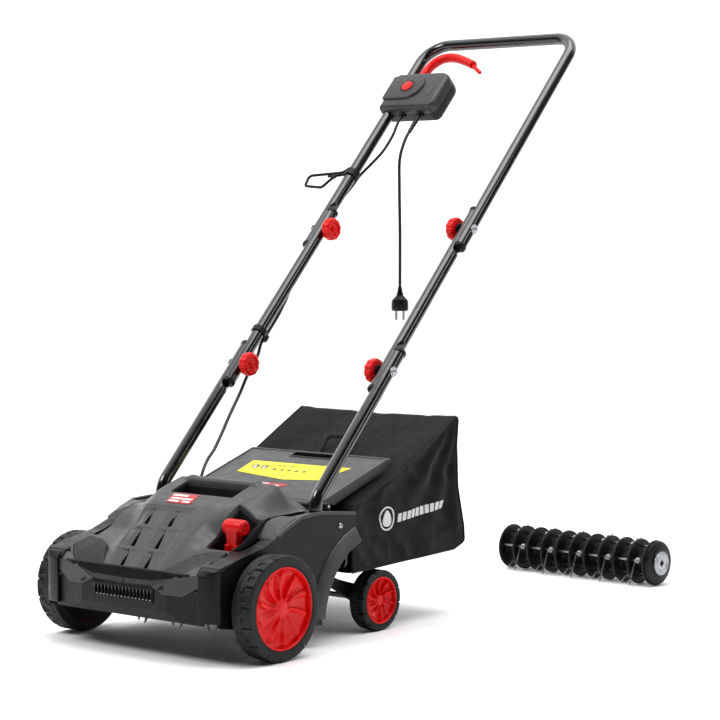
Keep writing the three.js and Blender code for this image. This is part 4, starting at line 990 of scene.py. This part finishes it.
def end_cap(x, y, way):
    """A black plug in a tube's flattened end."""
    toward = copysign(1, CONTACT_X - abs(x))
    side = copysign(1, x)
    ring = []
    for c, s in circle(40):
        px, pz = abs(x) + 12.3 * c, 12.6 * s
        if (px - CONTACT_X + toward * 0.3) * toward > 0:
            px = CONTACT_X - toward * 0.3
        ring.append((side * px, pz))
    middle = side * abs(x)
    return skin([[(middle + (px - middle) * grow, y + way * s, pz * grow) for px, pz in ring]
        for grow, s in ((1.0, -5), (1.03, -4), (1.03, 1.5), (0.93, 3.4), (0.7, 4.4))])


lower_bend_z = LOWER_JOINT.z - (LOWER_JOINT.y - 160) * tan(LEAN)
back = Matrix.Rotation(-LEAN, 3, "X")
for side, hand in SIDES:
    x = side * OUTER_X
    line = rounded([(x, 160, 158), (x, 160, lower_bend_z), LOWER_JOINT + UP * OVERLAP + Vector((x, 0, 0))], 45,
        16)
    leg = painted_tube([back @ (p - LOWER_JOINT) for p in line], [0], x)
    piece(f"lower_leg_{hand}", leg, PAINT, place=MID, stands_for=[f"lower_tube_{hand}"], angle=50)
    piece(f"lower_leg_cap_{hand}", end_cap(x, OVERLAP, 1), BLACK, place=MID)
    x = side * MID_X
    leg = painted_tube([(x, -OVERLAP, 0), (x, MID_LENGTH + OVERLAP, 0)], [0, MID_LENGTH], x)
    piece(f"middle_leg_{hand}", leg, PAINT, "mid_handle", MID, stands_for=[f"mid_tube_{hand}"], angle=50)
    caps = join(end_cap(x, -OVERLAP, -1), end_cap(x, MID_LENGTH + OVERLAP, 1))
    piece(f"middle_leg_caps_{hand}", caps, BLACK, "mid_handle", MID)

UPPER_LENGTH = 526
hoop = rounded([(-OUTER_X, -OVERLAP, 0), (-OUTER_X, UPPER_LENGTH, 0), (OUTER_X, UPPER_LENGTH, 0),
    (OUTER_X, -OVERLAP, 0)], 52, 20)
hoop_shape = tube(tube_run(hoop), TUBE_RADIUS, 40, side=(0, 0, 1))
for x in (-OUTER_X, OUTER_X):
    hoop_shape = pressed(hoop_shape, x, 0)
on_top("top_hoop", hoop_shape, PAINT, stands_for=["upper_handle"], angle=50)
on_top("top_hoop_caps", join(*[end_cap(x, -OVERLAP, -1) for x in (-OUTER_X, OUTER_X)]), BLACK)

# ---- knobs and bolts
KNOB_SEAT = MID_X - TUBE_RADIUS - 0.3
KNOB_FOOT = KNOB_SEAT - 4
BOLT_SEAT = OUTER_X + TUBE_RADIUS + 0.3


def lobed(r, x, a):
    return r + (0.9 * abs(cos(5 * a)) ** 0.5 - 0.9) * 2.2 * ease(13, 19, r)


knob = lathe([(r, KNOB_FOOT - d) for r, d in ((0, 0), (12, 0), (18, 0.3), (21.6, 1.6), (22.8, 4), (22.8, 12),
    (21.4, 15.4), (18.6, 17.4), (15, 18), (13.4, 17.6), (12.2, 15.6), (7.6, 15.2), (6.6, 15.8), (6.0, 18.6),
    (5, 19.4), (2.4, 19.4), (2, 18), (0, 18))], 160, shape=lobed)
collar = lathe([(r, KNOB_SEAT - d) for r, d in ((4, 4.6), (10.4, 4.6), (11, 4), (11, 0.6), (10.4, 0), (4, 0))],
    40)
stud = lathe([(r, BOLT_SEAT + d) for r, d in ((0, -3), (9.2, -1.2), (9.2, 0), (8.2, 0.6), (7.4, 0.7), (7.2, 2),
    (5.6, 3.6), (2.8, 4.4), (0, 4.6))], 36)
for level, place in (("lower", MID), ("upper", UPPER)):
    for side, hand in SIDES:
        body = f"{level}_knob_{hand}"
        piece(f"{level}_star_{hand}", sided(knob, side), RED, body, place, stands_for=[body], angle=28)
        piece(f"{level}_star_collar_{hand}", sided(collar, side), BLACK, body, place)
        bolt = f"{level}_bolt_{hand}"
        piece(f"{level}_stud_{hand}", sided(stud, side), ZINC, frame["nodes"][bolt]["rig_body"], place,
            stands_for=[bolt])

# ---- switch box and controls
def box_outline(x0, x1, y0, y1, corners, inset):
    """A rounded rectangle with a radius for each corner, from the low left one round."""
    points = []
    for (cx, cy), r, start in zip(((x0, y0), (x1, y0), (x1, y1), (x0, y1)), corners, (180, 270, 0, 90)):
        ox = cx + (r if cx == x0 else -r)
        oy = cy + (r if cy == y0 else -r)
        for k in range(9):
            a = radians(start + 90 * k / 8)
            reach = max(r - inset, 0.4)
            shift = inset - (r - reach)
            px = ox + reach * cos(a) + (shift if cx == x0 else -shift)
            py = oy + reach * sin(a) + (shift if cy == y0 else -shift)
            points.append((px, py))
    return points


def stack(levels, **kw):
    return skin([[(x, y, n) for x, y in box_outline(inset=inset, **kw)] for n, inset in levels])


case = dict(x0=-205, x1=-64, y0=322, y1=425, corners=(7, 17, 26, 10))
front_shell = stack(((0.3, 0), (13, 0.4), (18, 2.2), (20.8, 4.6), (22.2, 7.4), (22.8, 10)), **case)
on_top("switch_cover", front_shell, GREY, stands_for=["switch_box_front"], angle=24)
back_shell = stack(((-0.3, 0), (-14, 0.4), (-21, 2.4), (-25, 6), (-26.6, 10)), **case)
on_top("switch_base", back_shell, BLACK, stands_for=["switch_box_back"], angle=24)
on_top("switch_seam", stack(((-0.6, 0.8), (0.6, 0.8)), **case), DARK)
dais = dict(x0=-203, x1=-113, y0=344, y1=411, corners=(5, 36, 30, 5))
on_top("switch_dais", stack(((18, 0), (25.4, 0.4), (27, 1.6), (27.4, 3.2)), **dais), GREY, angle=24)
BUTTON_X, BUTTON_Y = -152, 378
bezel = lathe([(13.4, 24), (17, 24), (17, 27.2), (16, 28.4), (14.4, 28.4), (13.4, 27), (13.4, 24)], 48)
on_top("button_bezel", moved(bezel, BUTTON_X, BUTTON_Y, 0, X_TO_UP), DARK)
button = lathe([(0, 17), (13, 17), (13, 27.6), (12.4, 29), (10.8, 29.6), (5, 29.9), (0, 30)], 48)
piece("button_cap", moved(button, BUTTON_X, BUTTON_Y, 0, X_TO_UP), RED, "button", UPPER,
    stands_for=["safety_button"])
on_top("switch_emboss", join(block(-96, -84, 352, 388, 22.4, 23.5), block(-93, -87, 355, 385, 23.0, 23.9)), GREY,
    bevel=0.5)
screw = lathe([(0, -28.2), (2, -28.2), (2.2, -27.2), (4.6, -27.6), (5, -26.4), (5, -24), (0, -24)], 24)
on_top("switch_screws", join(*[moved(screw, x, y, 0, X_TO_UP)
    for x, y in ((-84, 340), (-84, 404), (-150, 340), (-150, 408))]), ZINC)
glands = [moved(lathe([(r - 2.5, 0), (r, 0), (r + 1.2, 3), (r + 1.2, 8), (r - 2.5, 8)], 32), x, 316, 0,
    X_TO_REAR) for x, r in ((-104, 8.4), (-149, 6.6))]
on_top("cable_glands", join(*glands), BLACK)
relief_profile = [(3.4, 270), (4.0, 270.4)]
for k in range(9):
    r = 4.2 + 0.13 * k
    y = 273 + k * 4.6
    relief_profile += [(r, y), (r, y + 2.2), (r - 0.8, y + 2.7), (r - 0.8, y + 4.2)]
relief_profile += [(5.2, 316), (5.2, 328), (0, 328)]
on_top("mains_sleeve", moved(lathe(relief_profile, 28), -104, 0, 0, X_TO_REAR), CORD,
    stands_for=["mains_strain_relief"], angle=25)

bail_path = smooth([(-159, 404, 0), (-157, 438, 0), (-150, 467, 0), (-135, 484, 0), (-112, 488, 0),
    (-86, 482, 0), (-62, 472, 0), (-41, 462, 0)], 48)
bail_radii = [9.0 + 1.2 * ease(6, 22, i) - 0.8 * ease(30, 48, i) for i in range(49)]
bail = tube(bail_path, bail_radii, 28, 0.92, (1, 0, 0))
flare = tube([(-159.5, 420, 0), (-159, 426, 0), (-158.6, 430, 0), (-158.4, 433, 0)], [10.2, 10.4, 9.8, 9.0], 28,
    1, (1, 0, 0))
stub = tube([(-45, 465, -1), (-36, 456, -1), (-24, 447, -1), (-14, 439.5, -1), (-11.5, 437.6, -1)],
    [4.4, 4.4, 4.4, 4.4, 3.2], 20)
piece("bail_grip", join(bail, flare), RED, "bail", UPPER, stands_for=["switch_lever"], angle=50)
piece("bail_tip", stub, RED, "bail", UPPER)

# ---- clip and cord retainer
def snap_ring(bore, wall_low, wall_high, half, sides):
    """A ring about the x axis with softened rims."""
    return lathe([(bore, -half), (wall_low, -half), (wall_high, 1 - half), (wall_high, half - 1),
        (wall_low, half), (bore, half), (bore, -half)], sides)


clip = join(moved(snap_ring(12.1, 14.4, 15.2, 6, 40), -178, 82, 0, X_TO_REAR),
    moved(snap_ring(3.2, 6.8, 7.6, 6, 32), -176.5, 82, -18.6, X_TO_REAR))
piece("cable_clip_rings", clip, BLACK, "mid_handle", MID, stands_for=["cable_clip"])
x, y = -OUTER_X, 150
loop_path = rounded([(x - 6, y - 2, 11), (x - 30, y - 6, 12), (x - 52, y - 8, 12), (x - 98, y - 12, 12),
    (x - 93, y - 41, 12), (x - 46, y - 46, 12), (x - 34, y - 22, 12), (x - 8, y + 4, 11)], 8, 6)
retainer = join(moved(snap_ring(12.1, 15, 16, 8, 40), x, y, 0, X_TO_REAR), tube(loop_path, 3, 14))
on_top("lead_retainer", retainer, BLACK, stands_for=["cord_retainer"])
arm = [(x - 10, y - 3, 8), (x - 30, y - 10, 10), (x - 48, y - 14, 11)]
on_top("lead_retainer_arm", tube(arm, [6, 5, 3], 16, 0.6, (0, 0, 1)), BLACK)

# ---- spare spring-tine reel
DISCS, DISC_PITCH, DISC = 11, 37, 5
COIL_TURNS, COIL_RADIUS, BAR_CIRCLE = 4.5, 5, 31
core_profile = [(0, -198), (10, -198), (12, -196.5), (12, -190)]
for i in range(DISCS):
    cx = (i - (DISCS - 1) / 2) * DISC_PITCH
    a, b = cx - DISC / 2, cx + DISC / 2
    core_profile += [(23, a - 3), (25, a - 0.6), (30, a + 0.2), (41, a + 0.6), (42, a), (44.6, a), (45.8, a + 1),
        (46, cx), (45.8, b - 1), (44.6, b), (42, b), (41, b - 0.6), (30, b - 0.2), (25, b + 0.6), (23, b + 3)]
core_profile += [(0, 187.5)]


def ribbed(r, x, a):
    return r - 2.2 * abs(sin(2 * a)) ** 3 if 20 < r < 24 else r


piece("spare_core", lathe(core_profile, 120, shape=ribbed), DARK, "spare_reel", SPARE,
    stands_for=["spare_reel_core"], angle=32)
TINE_BARS = [(80, (44, 42)), (170, (-51, -43)), (260, (-27, -43)), (350, (51, -43))]
roller = lathe([(2.6, 4), (6.4, 4), (7, 4.8), (7, 12), (6.4, 13), (2.6, 13)], 24)
for k, (angle, tip) in enumerate(TINE_BARS):
    a = radians(angle)
    y, z = BAR_CIRCLE * cos(a), BAR_CIRCLE * sin(a)
    aim = atan2(tip[1] - z, tip[0] - y)
    outward = Vector((0, y, z)).normalized()
    steel_parts = [tube([(-187, y, z), (187, y, z)], 2.5, 12)]
    rollers = []
    for i in range(5):
        x = (2 * i + (k % 2) - 4.5) * DISC_PITCH
        coil = []
        for j in range(73):
            t = j / 72
            w = aim - pi / 2 + 2 * pi * COIL_TURNS * t
            coil.append((x - 6 + 9 * t, y + COIL_RADIUS * cos(w), z + COIL_RADIUS * sin(w)))
        foot = Vector((x - 9, tip[0], tip[1]))
        start, last = Vector(coil[0]), Vector(coil[-1])
        away = foot - start
        leg = [foot, start + away * 0.5, start + away * 0.06]
        hook = [last + outward * 3 + Vector((1.5, 0, 0)), last + outward * 8 + Vector((3, 0, 0)),
            Vector((x + 8, y * 1.38, z * 1.38)) + Vector((0, 1.5, 1)), Vector((x + 11, y * 1.36, z * 1.36))]
        steel_parts.append(tube(smooth(leg + coil[1::3] + hook, 150), 1.35, 8))
        rollers.append(moved(roller, x, y, z))
    piece(f"spare_tines_{k + 1}", join(*steel_parts), STEEL, "spare_reel", SPARE,
        stands_for=[f"spare_tine_bar_{k + 1}"], angle=60)
    piece(f"spare_rollers_{k + 1}", join(*rollers), BLACK, "spare_reel", SPARE)

cap_profile = [(18.2, 188), (40, 188), (43.2, 188.6), (44.4, 190), (44.6, 192), (43.4, 194), (40.5, 195.6),
    (36, 196.4), (29, 196.6), (27.4, 197.6), (26.6, 199.4), (25, 200.2), (20.4, 200.2), (19, 199.6),
    (18.2, 198.4), (18.2, 188)]
piece("spare_cap", lathe(cap_profile, 96), BLACK, "spare_reel", SPARE, stands_for=["spare_reel_end_cap"])
race_profile = [(24.4, 200.0), (24.2, 201.0), (22.4, 201.2), (21.8, 200.4), (20.6, 200.4), (20, 201.2),
    (17.6, 201.4), (17, 200.6), (14.6, 200.4), (14, 201.2), (10.4, 201.4)]
race = lathe(race_profile, 72)
eighth = circle(72, pi / 4)
square = [[5.6 * max(min(1.45 * v, 1), -1) for v in pair] for pair in eighth]
rim, mouth, deep = ([(x, k * c, k * s) for c, s in pairs]
    for x, k, pairs in ((201.4, 10.4, eighth), (201.4, 1, square), (191, 1, square)))
diamond = Matrix.Rotation(radians(45), 3, "X")
socket = join(skin([rim, mouth, deep], capped=False), skin([deep, [(191, 0, 0)] * 72], capped=False))
race = join(race, moved(socket, turn=diamond))
piece("spare_race", race, ZINC, "spare_reel", SPARE, stands_for=["spare_reel_bearing"], angle=30)

# ---- studio
FLOOR_HALF, FLOOR_Z = 14, -0.0005
floor_mesh = bpy.data.meshes.new("floor")
floor_mesh.from_pydata([(FLOOR_HALF * x, FLOOR_HALF * y, FLOOR_Z)
    for x, y in ((-1, -1), (1, -1), (1, 1), (-1, 1))], [], [(0, 1, 2, 3)])
floor = bpy.data.objects.new("floor", floor_mesh)
scene.collection.objects.link(floor)
floor_look = bpy.data.materials.new("studio_floor")
floor_look.use_nodes = True
floor_shader = floor_look.node_tree.nodes["Principled BSDF"]
floor_shader.inputs["Base Color"].default_value = (0.95, 0.95, 0.95, 1)
floor_shader.inputs["Roughness"].default_value = 0.8
floor_shader.inputs["Specular IOR Level"].default_value = 0.1
floor_mesh.materials.append(floor_look)
floor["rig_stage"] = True

world = bpy.data.worlds.new("studio")
scene.world = world
world.use_nodes = True
sky = world.node_tree
heading = add_node(sky, "TexCoord").outputs["Generated"]
facing = add_node(sky, "VectorMath", ((0, heading), (1, (-0.45, 0.55, 0.70))), operation="DOT_PRODUCT")
spread = add_node(sky, "MapRange", (("From Min", 0.15), ("From Max", 0.62), ("To Min", 0.06), ("To Max", 1.65),
    ("Value", facing.outputs["Value"])), interpolation_type="SMOOTHSTEP")
sky.links.new(spread.outputs["Result"], sky.nodes["Background"].inputs["Strength"])
sky.nodes["Background"].inputs["Color"].default_value = (1, 1, 1, 1)


def soft_light(name, place, target, size, power):
    data = bpy.data.lights.new(name, "AREA")
    data.shape = "RECTANGLE"
    data.size, data.size_y = size
    data.energy = power
    obj = bpy.data.objects.new(name, data)
    obj.location = place
    obj.rotation_euler = (Vector(target) - Vector(place)).to_track_quat("-Z", "Y").to_euler()
    scene.collection.objects.link(obj)


soft_light("key", (-1.2, -2.6, 3.0), (0, 0, 0.3), (1.2, 1.2), 70)
soft_light("overhead", (0.4, 0.0, 3.4), (0, 0, 0), (2.2, 2.2), 70)
soft_light("strip", (3.2, 0.9, 1.8), (0, 0, 0.4), (0.35, 2.4), 16)
scene.view_settings.view_transform = "Standard"

low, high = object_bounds()
